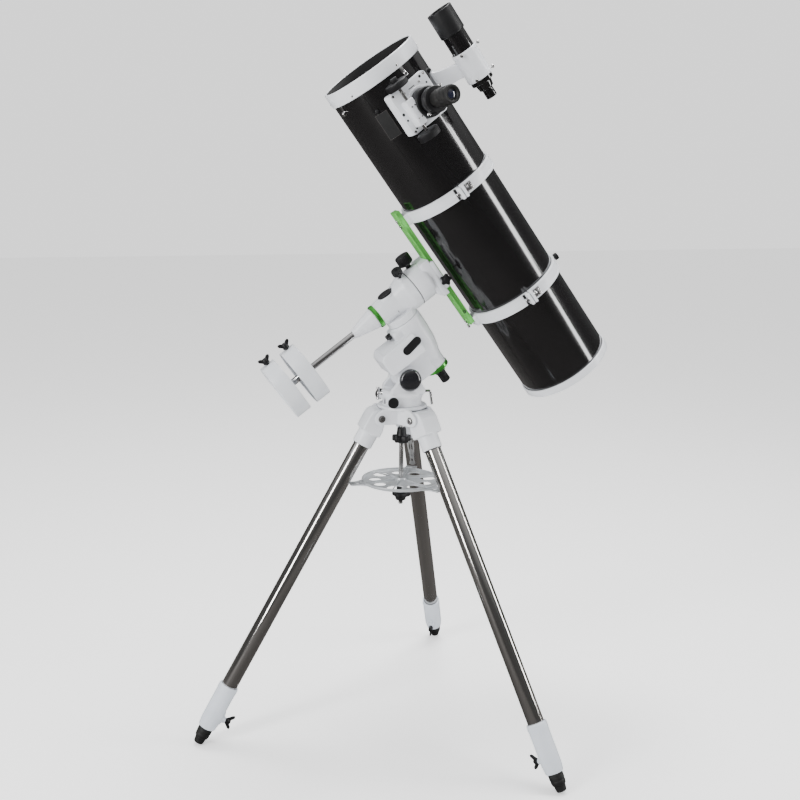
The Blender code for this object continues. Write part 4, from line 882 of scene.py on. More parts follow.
# ---------------------------------------------------------------- polar clutch
# The polar clutch is a black moulded handle on a steel screw that comes down out of the
# barrel. It locks the polar axle in its housing.
under_barrel = HEAD @ moved(POLAR_CLUTCH_X, 0, 0) @ about("X", pi)
grip = [(-0.0042, -0.0052), (0.0042, -0.0052), (0.0050, 0.0090), (0.0042, 0.0190), (0.0022, 0.0208),
        (-0.0022, 0.0208), (-0.0042, 0.0190), (-0.0050, 0.0090)]
own("polar_clutch_handle", joined("polar_clutch_handle", [
    six_mm_thread(0.0312, 0.0450, under_barrel),
    turned("hub", [(0, 0.0628), (0.0052, 0.0628), (0.0064, 0.0614), (0.0073, 0.0520), (0.0064, 0.0480),
                   (0.0050, 0.0442), (0, 0.0442)], under_barrel, edge=0.0006),
    hand_knob("grip", [(x, -y) for x, y in grip], 0.0522, 0.0600, under_barrel, 0.0018),
]), BLACK_PLASTIC, "polar_clutch", ["polar_clutch"])

# ---------------------------------------------------------------- polar circle and eyepiece
# A green anodised setting circle turns on the tail of the housing. Behind it the polar scope
# ends in a small black eyepiece with a ribbed focus ring.
# The circles carry the same green anodising as the bar, with painted shade: their base colour is darker
# than the bar's.
GREEN_SHADED_POLISHED = finish(
    "green_anodised_turned_shaded", (0.10, 0.50, 0.08), (0.07, 0.36, 0.06), 0.26, spread=0.10, amount=0.3,
    blotch=120.0, metallic=0.8, relief=0.000008)


def circle_ring(name, radius, seat, lip, foot, end, place, ticks=72):
    """A setting circle with a lip over the casting's edge, a groove and fine index cuts."""
    groove = (foot + end) / 2
    body = spun([
        (0.0090, end), (radius - 0.0012, end), (radius, end - 0.0010), (radius, groove + 0.0006),
        (radius - 0.0010, groove + 0.0002), (radius - 0.0010, groove - 0.0008), (radius, groove - 0.0012),
        (radius, lip + 0.0008), (radius - 0.0007, lip), (seat, lip), (seat, foot), (0.0090, foot)],
        ticks * 2, True)
    for vert in body.verts:
        step = round((atan2(vert.co.y, vert.co.x) % (2 * pi)) * ticks / pi)
        if step % 2 and vert.co.z > groove and vert.co.xy.length > radius - 0.0002:
            vert.co.xy *= 1 - 0.0004 / radius
    return mesh_of(name, body, place)


own("polar_setting_circle", circle_ring("circle", 0.0302, 0.0291, 0.1945, 0.1998, 0.2060, HEAD @ DOWN_X),
    GREEN_SHADED_POLISHED, "polar_ring", ["polar_ring"])
eye_ribs = [(0.0040, 0.2455, False), (0.0080, 0.2455, False), (0.0086, 0.2450, False),
            (0.0104, 0.2448, False), (0.0117, 0.2436, True), (0.0118, 0.2300, True),
            (0.0112, 0.2288, False), (0.0112, 0.2275, False), (0.0118, 0.2262, True),
            (0.0119, 0.2180, True), (0.0124, 0.2168, False), (0.0144, 0.2158, False),
            (0.0145, 0.2070, False), (0.0130, 0.2064, False), (0.0050, 0.2064, False)]
own("polar_scope_eyepiece", fluted("polar_eye", eye_ribs, 40, HEAD @ DOWN_X, 0.0005),
    BLACK_PLASTIC, "polar_eyepiece", ["polar_eyepiece"])
COATED_GLASS = finish(
    "coated_glass", (0.012, 0.014, 0.030), (0.02, 0.02, 0.035), 0.04, spread=0.04, amount=0.2,
    relief=0.0, coat=1.0, coat_roughness=0.02, ior=1.7)
own("polar_scope_lens", turned(
    "lens", [(0, 0.24575), (0.0025, 0.24570), (0.0050, 0.24560), (0.0076, 0.24540), (0.0076, 0.2450),
             (0, 0.2450)],
    HEAD @ DOWN_X, edge=0), COATED_GLASS, "polar_eyepiece")

# ---------------------------------------------------------------- declination housing
# The declination housing crosses the polar axle. It is one white casting: a flared head, a
# waist, a short neck that carries it and a boss for the polar scope's window.
solids = [
    turned("head", [
        (0, 0.0640), (0.0455, 0.0640), (0.0470, 0.0625), (0.0470, 0.0470), (0.0462, 0.0420),
        (0.0425, 0.0330), (0.0395, 0.0230), (0.0352, 0.0100), (0.0335, -0.0050), (0.0318, -0.0300),
        (0.0300, -0.0420), (0.0286, -0.0476), (0.0272, -0.0490), (0, -0.0490)],
        HEAD, steps=96, edge=0.0006),
    turned("neck", [(0, 0.0477), (0.0395, 0.0477), (0.0405, 0.0462), (0.0405, 0.0300), (0, 0.0300)],
           HEAD @ DOWN_X, steps=96, edge=0.0005),
    turned("boss", [(0, 0.0300), (0.0248, 0.0300), (0.0260, 0.0288), (0.0262, 0.0150), (0.0270, 0), (0, 0)],
           HEAD @ UP_X, steps=72, edge=0.0006),
]
clutch_turn = moved(0, 0, 0.0500) @ about("Z", radians(22)) @ about("Y", -pi / 2)
solids.append(turned("clutch_boss", [(0, 0.0505), (0.0078, 0.0505), (0.0092, 0.0490), (0.0110, 0.0400),
                                     (0, 0.0400)],
                     HEAD @ clutch_turn, edge=0.0006))
holes = [
    turned("window", cylinder(0.0218, 0.0242, 0.060), HEAD @ UP_X, edge=0),
    turned("clutch_bore", cylinder(0.0036, 0.0470, 0.070), HEAD @ clutch_turn, edge=0),
]
own("declination_casting", cast("declination_casting", solids, holes, grain=0.0011, passes=6),
    WHITE_ENAMEL, "dec_housing", ["dec_housing"])
own("declination_seams", joined("declination_seams", [
    turned("seam", [(0.0400, 0.0012), (0.0472, 0.0012), (0.0472, 0.0004), (0.0400, 0.0004)],
           HEAD @ moved(0, 0, 0.0630), ring=True, edge=0.0002, steps=96),
    block("slot_bar", (0.0120, 0.0175), (-0.0352, -0.0335), (-0.0042, -0.0030), HEAD, edge=0.0003),
]), BLACK_PLASTIC, "dec_housing")
own("polar_window_cap", turned(
    "cap", [(0, 0.0345), (0.0180, 0.0343), (0.0206, 0.0338), (0.0213, 0.0328), (0.0214, 0.0260),
            (0.0208, 0.0243), (0, 0.0243)],
            HEAD @ UP_X, steps=96, edge=0.0004), BLACK_PLASTIC, "polar_cap", ["polar_cap"])
own("declination_setting_circle", circle_ring(
    "circle", 0.0308, 0.0297, 0.0450, 0.0493, 0.0548, HEAD @ about("X", pi)),
    GREEN_SHADED_POLISHED, "dec_ring", ["dec_ring"])

# ---------------------------------------------------------------- declination clutch
# The declination clutch has the same moulded handle as the polar one, on a screw that comes
# out of the head of the casting.
own("declination_clutch_handle", joined("declination_clutch_handle", [
    six_mm_thread(0.0478, 0.0600, HEAD @ clutch_turn),
    fluted("head", [(0.0050, 0.0754, False), (0.0108, 0.0754, False), (0.0126, 0.0748, False),
                    (0.0134, 0.0734, True), (0.0135, 0.0640, True), (0.0126, 0.0612, True),
                    (0.0090, 0.0590, False), (0.0062, 0.0582, False), (0.0030, 0.0580, False)],
                    16, HEAD @ clutch_turn, 0.0011),
]), BLACK_PLASTIC, "dec_clutch", ["dec_clutch"])

# ---------------------------------------------------------------- counterweight shaft
# A white cone screws on under the declination casting. A chromed steel bar runs out of it,
# with a safety washer on its end.
own("shaft_cone_nut", turned("cone", [
    (0, -0.0551), (0.0252, -0.0551), (0.0265, -0.0565), (0.0262, -0.0600), (0.0136, -0.1135),
    (0.0130, -0.1145), (0.0122, -0.1165), (0.0115, -0.1212), (0.0106, -0.1220), (0, -0.1220)],
    HEAD, steps=96, edge=0.0005),
    WHITE_ENAMEL, "dec_housing", ["shaft_cone"])
own("counterweight_shaft", joined("counterweight_shaft", [
    turned("bar", cylinder(0.0084, -0.3420, -0.1222), HEAD, steps=72, edge=0.0004),
    turned("end", [(0, -0.3412), (0.0108, -0.3412), (0.0115, -0.3420), (0.0115, -0.3492),
                   (0.0105, -0.3500), (0, -0.3500)],
           HEAD, steps=64, edge=0.0004),
]), CHROME, "dec_housing", ["weight_shaft"])

# ---------------------------------------------------------------- counterweights
# Two cast-iron weights slide on the shaft. Each is a drum with a turned rim and sunk faces,
# painted in a fine grey-white hammer finish.
WEIGHT_PAINT = finish(
    "weight_paint", (0.66, 0.68, 0.71), (0.50, 0.52, 0.55), 0.40, spread=0.14, amount=0.45,
    grain=480.0, relief=0.00012, coat=0.2, coat_roughness=0.25)
DRUM = 0.0740
FACE = 0.0200
for word, at in (("upper", -0.2735), ("lower", -0.3330)):
    middle = HEAD @ moved(0, 0, at)
    own(f"counterweight_{word}", turned("drum", [
        (0.0088, FACE - 0.0040), (0.0200, FACE - 0.0040), (0.0212, FACE - 0.0050),
        (0.0655, FACE - 0.0050), (0.0672, FACE - 0.0012), (0.0684, FACE), (DRUM - 0.0012, FACE),
        (DRUM, FACE - 0.0012), (DRUM, -FACE + 0.0012), (DRUM - 0.0012, -FACE), (0.0684, -FACE),
        (0.0672, -FACE + 0.0012), (0.0655, -FACE + 0.0050), (0.0245, -FACE + 0.0050),
        (0.0232, -FACE + 0.0045), (0.0190, -FACE + 0.0145), (0.0088, -FACE + 0.0145)],
        middle, steps=128, ring=True, edge=0.0005),
        WEIGHT_PAINT, f"weight_{word}", [f"weight_{word}"])
    out = middle @ moved(0, 0, 0.002) @ UP_X
    wings = [(-0.0050, 0.0766), (-0.0062, 0.0800), (-0.0150, 0.0890), (-0.0160, 0.0925),
             (-0.0140, 0.0950), (-0.0085, 0.0945), (-0.0030, 0.0905), (0.0030, 0.0905), (0.0085, 0.0945),
             (0.0140, 0.0950), (0.0160, 0.0925), (0.0150, 0.0890), (0.0062, 0.0800), (0.0050, 0.0766)]
    own(f"counterweight_screw_{word}", joined(f"counterweight_screw_{word}", [
        eight_mm_thread(0.0092, 0.0775, out),
        turned("hub", [(0, 0.0912), (0.0050, 0.0912), (0.0066, 0.0890), (0.0085, 0.0790),
                       (0.0080, 0.0768), (0, 0.0768)],
               out, edge=0.0008),
        drawn("wings", wings, -0.0026, 0.0026, out, edge=0.0010, segments=3),
    ]), BLACK_PLASTIC, f"weight_screw_{word}", [f"weight_screw_{word}"])

# ---------------------------------------------------------------- saddle
# The saddle is a white cast head that turns on the declination axle. Its upper plate has a
# channel for the dovetail bar, between two raised jaws.
own("saddle_casting", joined("saddle_casting", [
    turned("head", [(0, 0.1080), (0.0430, 0.1080), (0.0462, 0.1010), (0.0470, 0.0985), (0.0470, 0.0655),
                    (0.0458, 0.0643), (0, 0.0643)], HEAD, steps=96, edge=0.0006),
    drawn("plate", [(-0.0440, 0.1060), (-0.0400, 0.1010), (0.0430, 0.1010), (0.0570, 0.1120),
                    (0.0570, 0.1274), (-0.0440, 0.1274)], -0.0370, 0.0370, HEAD, edge=0.0022, segments=3),
    block("jaw", (-0.0330, 0.0440), (-0.0370, -0.0226), (0.1240, 0.1362), HEAD, edge=0.0015),
    block("jaw", (-0.0440, 0.0570), (0.0226, 0.0370), (0.1240, 0.1362), HEAD, edge=0.0015),
    block("rib", (0.0000, 0.0440), (-0.0385, -0.0360), (0.1120, 0.1240), HEAD, edge=0.0010),
]), WHITE_ENAMEL, "saddle", ["saddle"])
own("saddle_seam", turned(
    "seam", [(0.0440, 0.0648), (0.0466, 0.0648), (0.0466, 0.0641), (0.0440, 0.0641)], HEAD, ring=True,
    steps=96, edge=0.0002), BLACK_PLASTIC, "saddle")

# ---------------------------------------------------------------- saddle knobs
# A large ribbed hand knob clamps the bar from the north, and a small five-lobed one beside
# the jaw keeps it from slipping.
to_north = HEAD @ moved(0, 0, 0.0860) @ UP_X
own("saddle_clamp_knob", joined("saddle_clamp_knob", [
    fluted("knob", [(0.0090, 0.0810, False), (0.0150, 0.0820, False), (0.0176, 0.0817, False),
                    (0.0188, 0.0800, True), (0.0190, 0.0620, True), (0.0182, 0.0585, True),
                    (0.0150, 0.0562, False), (0.0080, 0.0552, False), (0.0040, 0.0550, False)],
                    30, to_north, 0.0008),
    turned("collar", [(0, 0.0560), (0.0068, 0.0560), (0.0070, 0.0500), (0.0078, 0.0480), (0, 0.0480)],
           to_north),
]), BLACK_PLASTIC, "saddle_big_knob", ["saddle_big_knob"])
to_front = HEAD @ moved(0.0200, 0, 0.1335) @ about("X", pi / 2)
own("saddle_lock_knob", joined("saddle_lock_knob", [
    six_mm_thread(0.0230, 0.0490, to_front),
    hand_knob("lobes", lobed(0.0128, 0.0022, 5), 0.0482, 0.0570, to_front, 0.0018),
    turned("cap", [(0, 0.0600), (0.0062, 0.0597), (0.0078, 0.0585), (0.0080, 0.0560), (0, 0.0560)],
           to_front),
]), BLACK_PLASTIC, "saddle_star_knob", ["saddle_star_knob"])

# ---------------------------------------------------------------- dovetail bar
# The bar is extruded aluminium with flared sides and bevelled ends, anodised green; its base colour is
# painted lighter than the setting circles' as light falling on it.
# Socket screws come up through it into the feet of the tube rings.
GREEN_LIT_SATIN = finish(
    "green_anodised_lit", (0.22, 0.80, 0.16), (0.16, 0.62, 0.12), 0.42, spread=0.10, amount=0.25,
    blotch=40.0, metallic=0.55, relief=0.00001)
along = HEAD @ about("Z", pi / 2)
flare = [(-0.0222, 0.1281), (0.0222, 0.1281), (0.0222, 0.1300), (0.0178, 0.1372), (0.0178, 0.1419),
         (-0.0178, 0.1419), (-0.0178, 0.1372), (-0.0222, 0.1300)]
own("dovetail_bar_extrusion", drawn("bar", flare, -0.1630, 0.1770, along, edge=0.0007),
    GREEN_LIT_SATIN, "bar", ["dovetail_bar"])
bar_screws = []
for x in (-0.1540, -0.1380, 0.1680, 0.1540):
    under = HEAD @ moved(x, 0, 0.1285) @ about("X", pi)
    bar_screws.append(socket_head(0.0050, 0.0048, under))
own("dovetail_bar_screws", joined("dovetail_bar_screws", bar_screws), PLATED_STEEL, "bar")
side_screw = HEAD @ moved(0.1250, -0.0170, 0.1330) @ about("X", pi / 2)
own("dovetail_stop_screw", socket_head(0.0040, 0.0058, side_screw, 0.0018), PLATED_STEEL, "bar")

# ---------------------------------------------------------------- tube rings
# Two hinged rings of cast aluminium hold the tube. Each has a felt lining, raised rims, a
# hinge behind and a pair of lugs in front that a bright bolt draws together.
TUBE_Z = 0.277
BORE = 0.1179
BAND = 0.1238
RIM = 0.1248
SPLIT = radians(5)
RING_AT = {"upper": -0.146, "lower": 0.1645}
FELT = finish(
    "ring_felt", (0.014, 0.014, 0.015), (0.030, 0.030, 0.032), 0.92, spread=0.05, amount=0.5,
    blotch=200.0, grain=2600.0, relief=0.0003)


def half_ring(inner, outer, sign, low, high, place, edge, start=0.012, end=0.012, lug=None):
    """Half of a ring about local Y, cap side for sign +1, with an optional lug on its open end."""
    line = arc((0, 0), outer, start, pi - end, 72)
    if lug:
        reach, thick = lug
        line = arc((0, 0), outer, start, pi - thick / outer - 0.02, 72)
        line += [(-outer - 0.004, thick), (-reach + 0.002, thick), (-reach, thick - 0.002),
                 (-reach, 0.0012)]
    line += arc((0, 0), inner, pi - 0.0012 / inner, start, 72)
    return drawn("half", [(x, sign * z) for x, z in line], low, high, place, edge)


for word, x_at in RING_AT.items():
    centre = HEAD @ moved(x_at, 0, TUBE_Z) @ about("X", SPLIT) @ about("Z", pi / 2)
    hinge_pin = centre @ moved(0.1320, 0, 0) @ about("X", -pi / 2)
    for half, sign, body in (("base", -1, "bar"), ("cap", 1, f"ring_cap_{word}")):
        shells = [half_ring(BORE, BAND, sign, -0.0149, 0.0149, centre, 0.0006, start=0.020,
                            lug=(0.1430, 0.0085))]
        for low in (-0.0150, 0.0092):
            shells.append(half_ring(BORE + 0.001, RIM, sign, low, low + 0.0058, centre, 0.0007, start=0.050,
                                    end=0.10))
        spans = [(-0.0150, -0.0057), (0.0057, 0.0150)] if sign < 0 else [(-0.0053, 0.0053)]
        for low, high in spans:
            shells.append(turned("knuckle", cylinder(0.0055, low, high), hinge_pin, edge=0.0005, steps=40))
            leaf = [(0.1200, 0.0010), (0.1318, 0.0010), (0.1318, 0.0050), (0.1235, 0.0150),
                    (0.1180, 0.0150)]
            shells.append(drawn("leaf", [(x, sign * z) for x, z in leaf], -high, -low, centre, edge=0.0004))
        shells.append(drawn("web", [(-0.1240, sign * 0.0070), (-0.1390, sign * 0.0080),
                                    (-0.1215, sign * 0.0240), (-0.1195, sign * 0.0240)],
                                    -0.0028, 0.0028, centre, edge=0.0006))
        if sign < 0:
            shells.append(block("foot", (x_at - 0.0140, x_at + 0.0140), (-0.0200, 0.0200), (0.1423, 0.1600),
                                HEAD, edge=0.0012))
        own(f"tube_ring_{half}_{word}", joined(f"tube_ring_{half}_{word}", shells), WHITE_ENAMEL, body,
            [f"ring_{half}_{word}"])
        own(f"ring_felt_{half}_{word}", half_ring(0.11765, 0.1184, sign, -0.0155, 0.0155, centre, 0.0),
            FELT, body)
        clamp = centre @ moved(-0.1350, 0, 0) @ about("X", 0 if sign > 0 else pi)
        if sign > 0:
            bolt = [turned("washer", cylinder(0.0062, 0.0083, 0.0096), clamp, edge=0.0003),
                    socket_head(0.0052, 0.0075, clamp @ moved(0, 0, 0.0094), 0.0022)]
        else:
            bolt = [turned("washer", cylinder(0.0062, 0.0083, 0.0094), clamp, edge=0.0003),
                    hexagon(0.0095, 0.0092, 0.0142, clamp, 0.0005),
                    six_mm_thread(0.0140, 0.0180, clamp)]
        own(f"ring_bolt_{half}_{word}", joined(f"ring_bolt_{half}_{word}", bolt), CHROME, body)
    latch = centre @ about("Y", 0.165)
    own(f"ring_latch_{word}", joined(f"ring_latch_{word}", [
        block("plate", (-0.1275, -0.1235), (-0.0100, 0.0100), (-0.0095, 0.0095), latch, edge=0.0008),
        *[turned("bar", cylinder(0.0019, -0.0085, 0.0085),
                 latch @ moved(-0.1290, 0, shift) @ about("X", pi / 2), steps=32, edge=0.0004)
          for shift in (-0.0042, 0.0042)],
    ]), CHROME, f"ring_cap_{word}")
    # A black block laid in the split of each ring's base is painted shade: it stands for the dark inside of
    # that gap.
    gap_shade = centre @ about("Y", -0.098)
    own(f"ring_gap_shade_{word}",
        block("gap_shade", (-0.1262, -0.1235), (-0.0140, 0.0140), (-0.0036, 0.0036), gap_shade, edge=0.0005),
        BLACK_PLASTIC, "bar")
    own(f"ring_hinge_pin_{word}", turned("pin", cylinder(0.0021, -0.0156, 0.0156), hinge_pin, edge=0.0004),
        PLATED_STEEL, "bar")
piggyback = HEAD @ moved(RING_AT["lower"], 0, TUBE_Z) @ about("X", SPLIT)
own("camera_screw", joined("camera_screw", [
    fluted("head", [(0.0040, 0.1388, False), (0.0078, 0.1388, False), (0.0090, 0.1380, True),
                    (0.0090, 0.1300, True), (0.0080, 0.1290, False), (0.0040, 0.1290, False)],
                    24, piggyback, 0.0006),
    turned("stem", cylinder(0.0045, 0.1230, 0.1300), piggyback, edge=0.0003),
]), BLACK_PLASTIC, "ring_cap_lower")

# ---------------------------------------------------------------- tube
# The tube is rolled steel sheet with a deep gloss black enamel outside and a flat black
# lining inside. The focuser stands over a round hole near its open end.
GLOSS_ENAMEL = finish(
    "gloss_enamel", (0.0045, 0.0042, 0.0045), (0.010, 0.009, 0.009), 0.16, spread=0.05, amount=0.2,
    blotch=5.0, grain=900.0, relief=0.000010, coat=1.0, coat_roughness=0.05)
FLAT_BLACK = finish(
    "flat_black", (0.010, 0.010, 0.010), (0.020, 0.020, 0.020), 0.88, spread=0.08, amount=0.4,
    grain=1200.0, relief=0.0001)
TUBE = 0.1175
TUBE_FRONT = -0.4875
TUBE_BACK = 0.4242
FOCUS_X = -0.3615
FOCUS_TURN = radians(78.5)
AXIS = HEAD @ moved(0, 0, TUBE_Z)
FOCUS = AXIS @ moved(FOCUS_X, 0, 0) @ about("X", FOCUS_TURN)


def drilled(name, mesh, tools):
    """A mesh less its tools, cut exactly."""
    bulk = bpy.data.objects.new(name, mesh)
    drill = bpy.data.objects.new(name + "_drill", joined(name + "_drill", tools))
    for made in (bulk, drill):
        bpy.context.scene.collection.objects.link(made)
    bore = bulk.modifiers.new("bore", "BOOLEAN")
    bore.operation = "DIFFERENCE"
    bore.solver = "EXACT"
    bore.object = drill
    view = bpy.context.evaluated_depsgraph_get()
    view.update()
    cut = bpy.data.meshes.new_from_object(bulk.evaluated_get(view), depsgraph=view)
    for made in (bulk, drill):
        bpy.data.objects.remove(made, do_unlink=True)
    return cut


def sleeve(name, inner, outer, start, end, steps=160, edge=0.0002):
    """A plain tube along the optical axis."""
    profile = [(inner, end), (outer, end), (outer, start), (inner, start)]
    return turned(name, profile, AXIS @ DOWN_X, steps=steps, ring=True, edge=edge)


def focuser_hole():
    """The round hole under the focuser."""
    return turned("hole", cylinder(0.0295, 0.08, 0.14), FOCUS, steps=64, edge=0)


own("tube_shell",
    drilled("tube_shell", sleeve("shell", TUBE - 0.0009, TUBE, TUBE_FRONT, TUBE_BACK), [focuser_hole()]),
    GLOSS_ENAMEL, "tube", ["tube"])
own("tube_lining", drilled(
    "tube_lining", sleeve("lining", TUBE - 0.0015, TUBE - 0.00092, TUBE_FRONT + 0.0002, TUBE_BACK - 0.0002),
    [focuser_hole()]), FLAT_BLACK, "tube")
seam = AXIS @ about("X", radians(128))
own("tube_seam", block("seam", (TUBE_FRONT + 0.035, TUBE_BACK - 0.020), (-0.0030, 0.0030),
                       (TUBE - 0.0006, TUBE + 0.0001),
                       seam, edge=0.00005), GLOSS_ENAMEL, "tube")
plate_middle = HEAD @ moved(-0.3660, 0, TUBE_Z) @ about("Z", pi / 2)
for name, outer, half, low, high, look in (
    ("data_plate_edge", TUBE + 0.00030, 0.0320, 219.6, 204.4, PLATED_STEEL),
    ("data_plate", TUBE + 0.00042, 0.0312, 219.2, 204.8, FLAT_BLACK),
):
    edges = arc((0, 0), outer, radians(low), radians(high), 16)
    edges += arc((0, 0), TUBE - 0.0003, radians(high), radians(low), 16)
    own(name, drawn(name, edges, -half, half, plate_middle, edge=0), look, "tube")

# ---------------------------------------------------------------- front ring
# A cast ring in white enamel closes the edge of the open end. It is rolled inwards at the
# lip and held by small screws.
own("front_ring_casting", turned("front_ring", [
    (0.1164, -0.4878), (0.1180, -0.4872), (0.1180, -0.4560), (0.1206, -0.4560), (0.1215, -0.4572),
    (0.1215, -0.4880), (0.1205, -0.4896), (0.1188, -0.4900), (0.1168, -0.4900), (0.1160, -0.4890)],
    AXIS @ DOWN_X, steps=160, ring=True, edge=0.0004), WHITE_ENAMEL, "tube", ["front_ring"])
own("front_ring_lining", sleeve("lining", 0.1150, 0.1159, -0.4884, -0.4555), FLAT_BLACK, "tube")
ring_screws = []
for k in range(6):
    place = AXIS @ moved(-0.4640, 0, 0) @ about("X", radians(18 + 60 * k))
    ring_screws.append(turned("screw", [(0, 0.1225), (0.0016, 0.1224), (0.0026, 0.1219), (0.0028, 0.1212),
                                        (0, 0.1212)],
                              place, steps=24, edge=0.0002))
own("front_ring_screws", joined("front_ring_screws", ring_screws), PLATED_STEEL, "tube")

# ---------------------------------------------------------------- spider and secondary mirror
# Four thin steel vanes hold a small hub across the open end. The slanted oval mirror on the
# hub throws the light out to the focuser. Black nuts and bright clips outside hold the vanes.
MIRROR_GLASS = finish(
    "mirror_coating", (0.90, 0.90, 0.91), (0.85, 0.85, 0.87), 0.02, spread=0.02, amount=0.1, blotch=6.0,
    metallic=1.0, relief=0.0)
vanes = [turned("hub", [(0, -0.3815), (0.0165, -0.3815), (0.0180, -0.3830), (0.0180, -0.4150),
                        (0.0165, -0.4170), (0, -0.4170)],
                AXIS @ DOWN_X, steps=64, edge=0.0006)]
nuts = []
for k in range(4):
    turn = AXIS @ about("X", radians(34 + 90 * k))
    vanes.append(block("vane", (-0.4130, -0.3970), (-0.0005, 0.0005), (0.0120, 0.1160), turn, edge=0.0002))
    nut = turn @ moved(-0.4050, 0, 0)
    nuts.append(turned("nut", [(0, 0.1232), (0.0030, 0.1232), (0.0046, 0.1222), (0.0050, 0.1205),
                               (0.0050, 0.1176), (0, 0.1176)],
                       nut, steps=40, edge=0.0004))
for k in range(3):
    at = AXIS @ DOWN_X @ about("Z", radians(120 * k + 20)) @ moved(0.0105, 0, -0.4168)
    nuts.append(socket_head(0.0022, 0.0024, at @ about("X", pi), 0.0010))
own("spider_frame", joined("spider_frame", vanes), FLAT_BLACK, "tube", ["spider"])
own("spider_nuts", joined("spider_nuts", nuts), BLACK_PLASTIC, "tube")
clips = []
for k in range(4):
    clip = AXIS @ moved(-0.4375, 0, 0) @ about("X", radians(75 + 90 * k))
    clips.append(block("strap", (-0.0190, 0.0060), (-0.0050, 0.0050), (TUBE - 0.0004, TUBE + 0.0016), clip,
                       edge=0.0006))
    clips.append(turned("nut", [(0, 0.1262), (0.0036, 0.1261), (0.0050, 0.1250), (0.0054, 0.1236),
                                (0.0054, 0.1186), (0, 0.1186)],
                        clip, steps=40, edge=0.0005))
own("vane_clips", joined("vane_clips", clips), CHROME, "tube")
slant = FOCUS @ about("Y", radians(45))
body = spun([(0, 0.0), (0.0262, 0.0), (0.0270, -0.0008), (0.0270, -0.0078), (0.0262, -0.0086),
             (0, -0.0086)], 72)
for vert in body.verts:
    vert.co.x *= 1.38
own("secondary_mirror", mesh_of("secondary_mirror", body, slant), MIRROR_GLASS, "tube")

# ---------------------------------------------------------------- mirror cell
# The white cell closes the back of the tube. It carries the main mirror inside and three
# pairs of collimation screws outside.
own("mirror_cell_casting", turned("cell", [
    (0, 0.4262), (0.0920, 0.4262), (0.0960, 0.4242), (0.1040, 0.4242), (0.1070, 0.4262), (0.1200, 0.4262),
    (0.1215, 0.4248), (0.1215, 0.4072), (0.1205, 0.4060), (0.1180, 0.4060), (0.1180, 0.4246),
    (0.1155, 0.4246), (0.1155, 0.4150), (0, 0.4150)],
    AXIS @ DOWN_X, steps=160, edge=0.0005), WHITE_ENAMEL, "tube", ["mirror_cell"])
cell_screws = []
for k in range(3):
    for shift, size in ((0, 0.0062), (13, 0.0040)):
        at = AXIS @ DOWN_X @ about("Z", radians(120 * k + shift + 30)) @ moved(0.0800, 0, 0.4258)
        cell_screws.append(fluted("screw", [(0.0020, 0.0075, False), (size, 0.0075, True),
                                            (size, 0.0010, True), (0.0030, 0.0, False)], 14, at, 0.0005))
own("collimation_screws", joined("collimation_screws", cell_screws), BLACK_PLASTIC, "tube")
disc = [(0, 0.3873)]
disc += [(0.0100 * i, 0.3873 - 0.0030 * (i / 10) ** 2) for i in range(1, 11)]
disc += [(0.1002, 0.3860), (0.1002, 0.4085), (0.0990, 0.4100), (0, 0.4100)]
own("main_mirror", turned("mirror", list(reversed(disc)), AXIS @ DOWN_X, steps=144, edge=0), MIRROR_GLASS,
    "tube")

# ---------------------------------------------------------------- focuser
# The focuser is a white cast plate with rounded corners on a white saddle that fits the
# tube. A black collar guides the drawtube, and a white housing holds the pinion beside it.
PLATE = [(-0.0605, -0.0620), (0.0445, -0.0620), (0.0445, 0.0470), (-0.0605, 0.0470)]
PINION_Y = -0.040
PINION_Z = 0.149


def rounded(outline, radius, count=6):
    """A four-cornered outline, in order, with rounded corners."""
    line = []
    for i, (x, y) in enumerate(outline):
        ins = []
        for other in (outline[i - 1], outline[(i + 1) % len(outline)]):
            step = Vector((other[0] - x, other[1] - y)).normalized() * radius
            ins.append(Vector((x, y)) + step)
        corner = Vector((x, y))
        for k in range(count + 1):
            t = k / count
            line.append(tuple(ins[0] * (1 - t) ** 2 + corner * 2 * t * (1 - t) + ins[1] * t * t))
    return line


def slab(name, outline, low, high, edge):
    """A flat outline in the focuser's XY plane raised from low to high."""
    turn = FOCUS @ about("X", pi / 2)
    return drawn(name, [(x, -y) for x, y in outline], low, high, turn, edge, 2)


def tube_room(radius):
    """The room that the tube takes up."""
    return turned("room", cylinder(radius, -0.2, 0.2), FOCUS @ DOWN_X, steps=160, edge=0)


own("focuser_saddle",
    drilled("focuser_saddle", slab("saddle", rounded(PLATE, 0.006), 0.0960, 0.1215, 0.0006),
                              [tube_room(TUBE + 0.0003),
                               turned("hole", cylinder(0.0259, 0.08, 0.14), FOCUS, edge=0)]),
    WHITE_ENAMEL, "tube")
own("focuser_plate", joined("focuser_plate", [
    drilled("plate", slab("plate", rounded(PLATE, 0.009), 0.1217, 0.1300, 0.0012),
            [turned("hole", cylinder(0.0259, 0.08, 0.16), FOCUS, edge=0)]),
    block("pinion_housing", (-0.0320, 0.0320), (PINION_Y - 0.0095, PINION_Y + 0.0120), (0.1295, 0.1575),
          FOCUS, edge=0.0022),
    block("cover", (-0.0200, 0.0200), (PINION_Y - 0.0075, PINION_Y + 0.0090), (0.1570, 0.1592), FOCUS,
          edge=0.0006),
    turned("guide_base", [(0.0262, 0.1345), (0.0395, 0.1345), (0.0415, 0.1325), (0.0420, 0.1298),
                          (0.0262, 0.1298)],
           FOCUS, steps=96, ring=True, edge=0.0006),
]), WHITE_ENAMEL, "tube", ["focuser_body"])
own("focuser_collar", turned("collar", [
    (0.0258, 0.1650), (0.0330, 0.1650), (0.0345, 0.1640), (0.0350, 0.1620), (0.0350, 0.1350),
    (0.0350, 0.1346), (0.0258, 0.1346)], FOCUS, steps=96, ring=True, edge=0.0005), BLACK_PLASTIC, "tube")
plate_screws = []
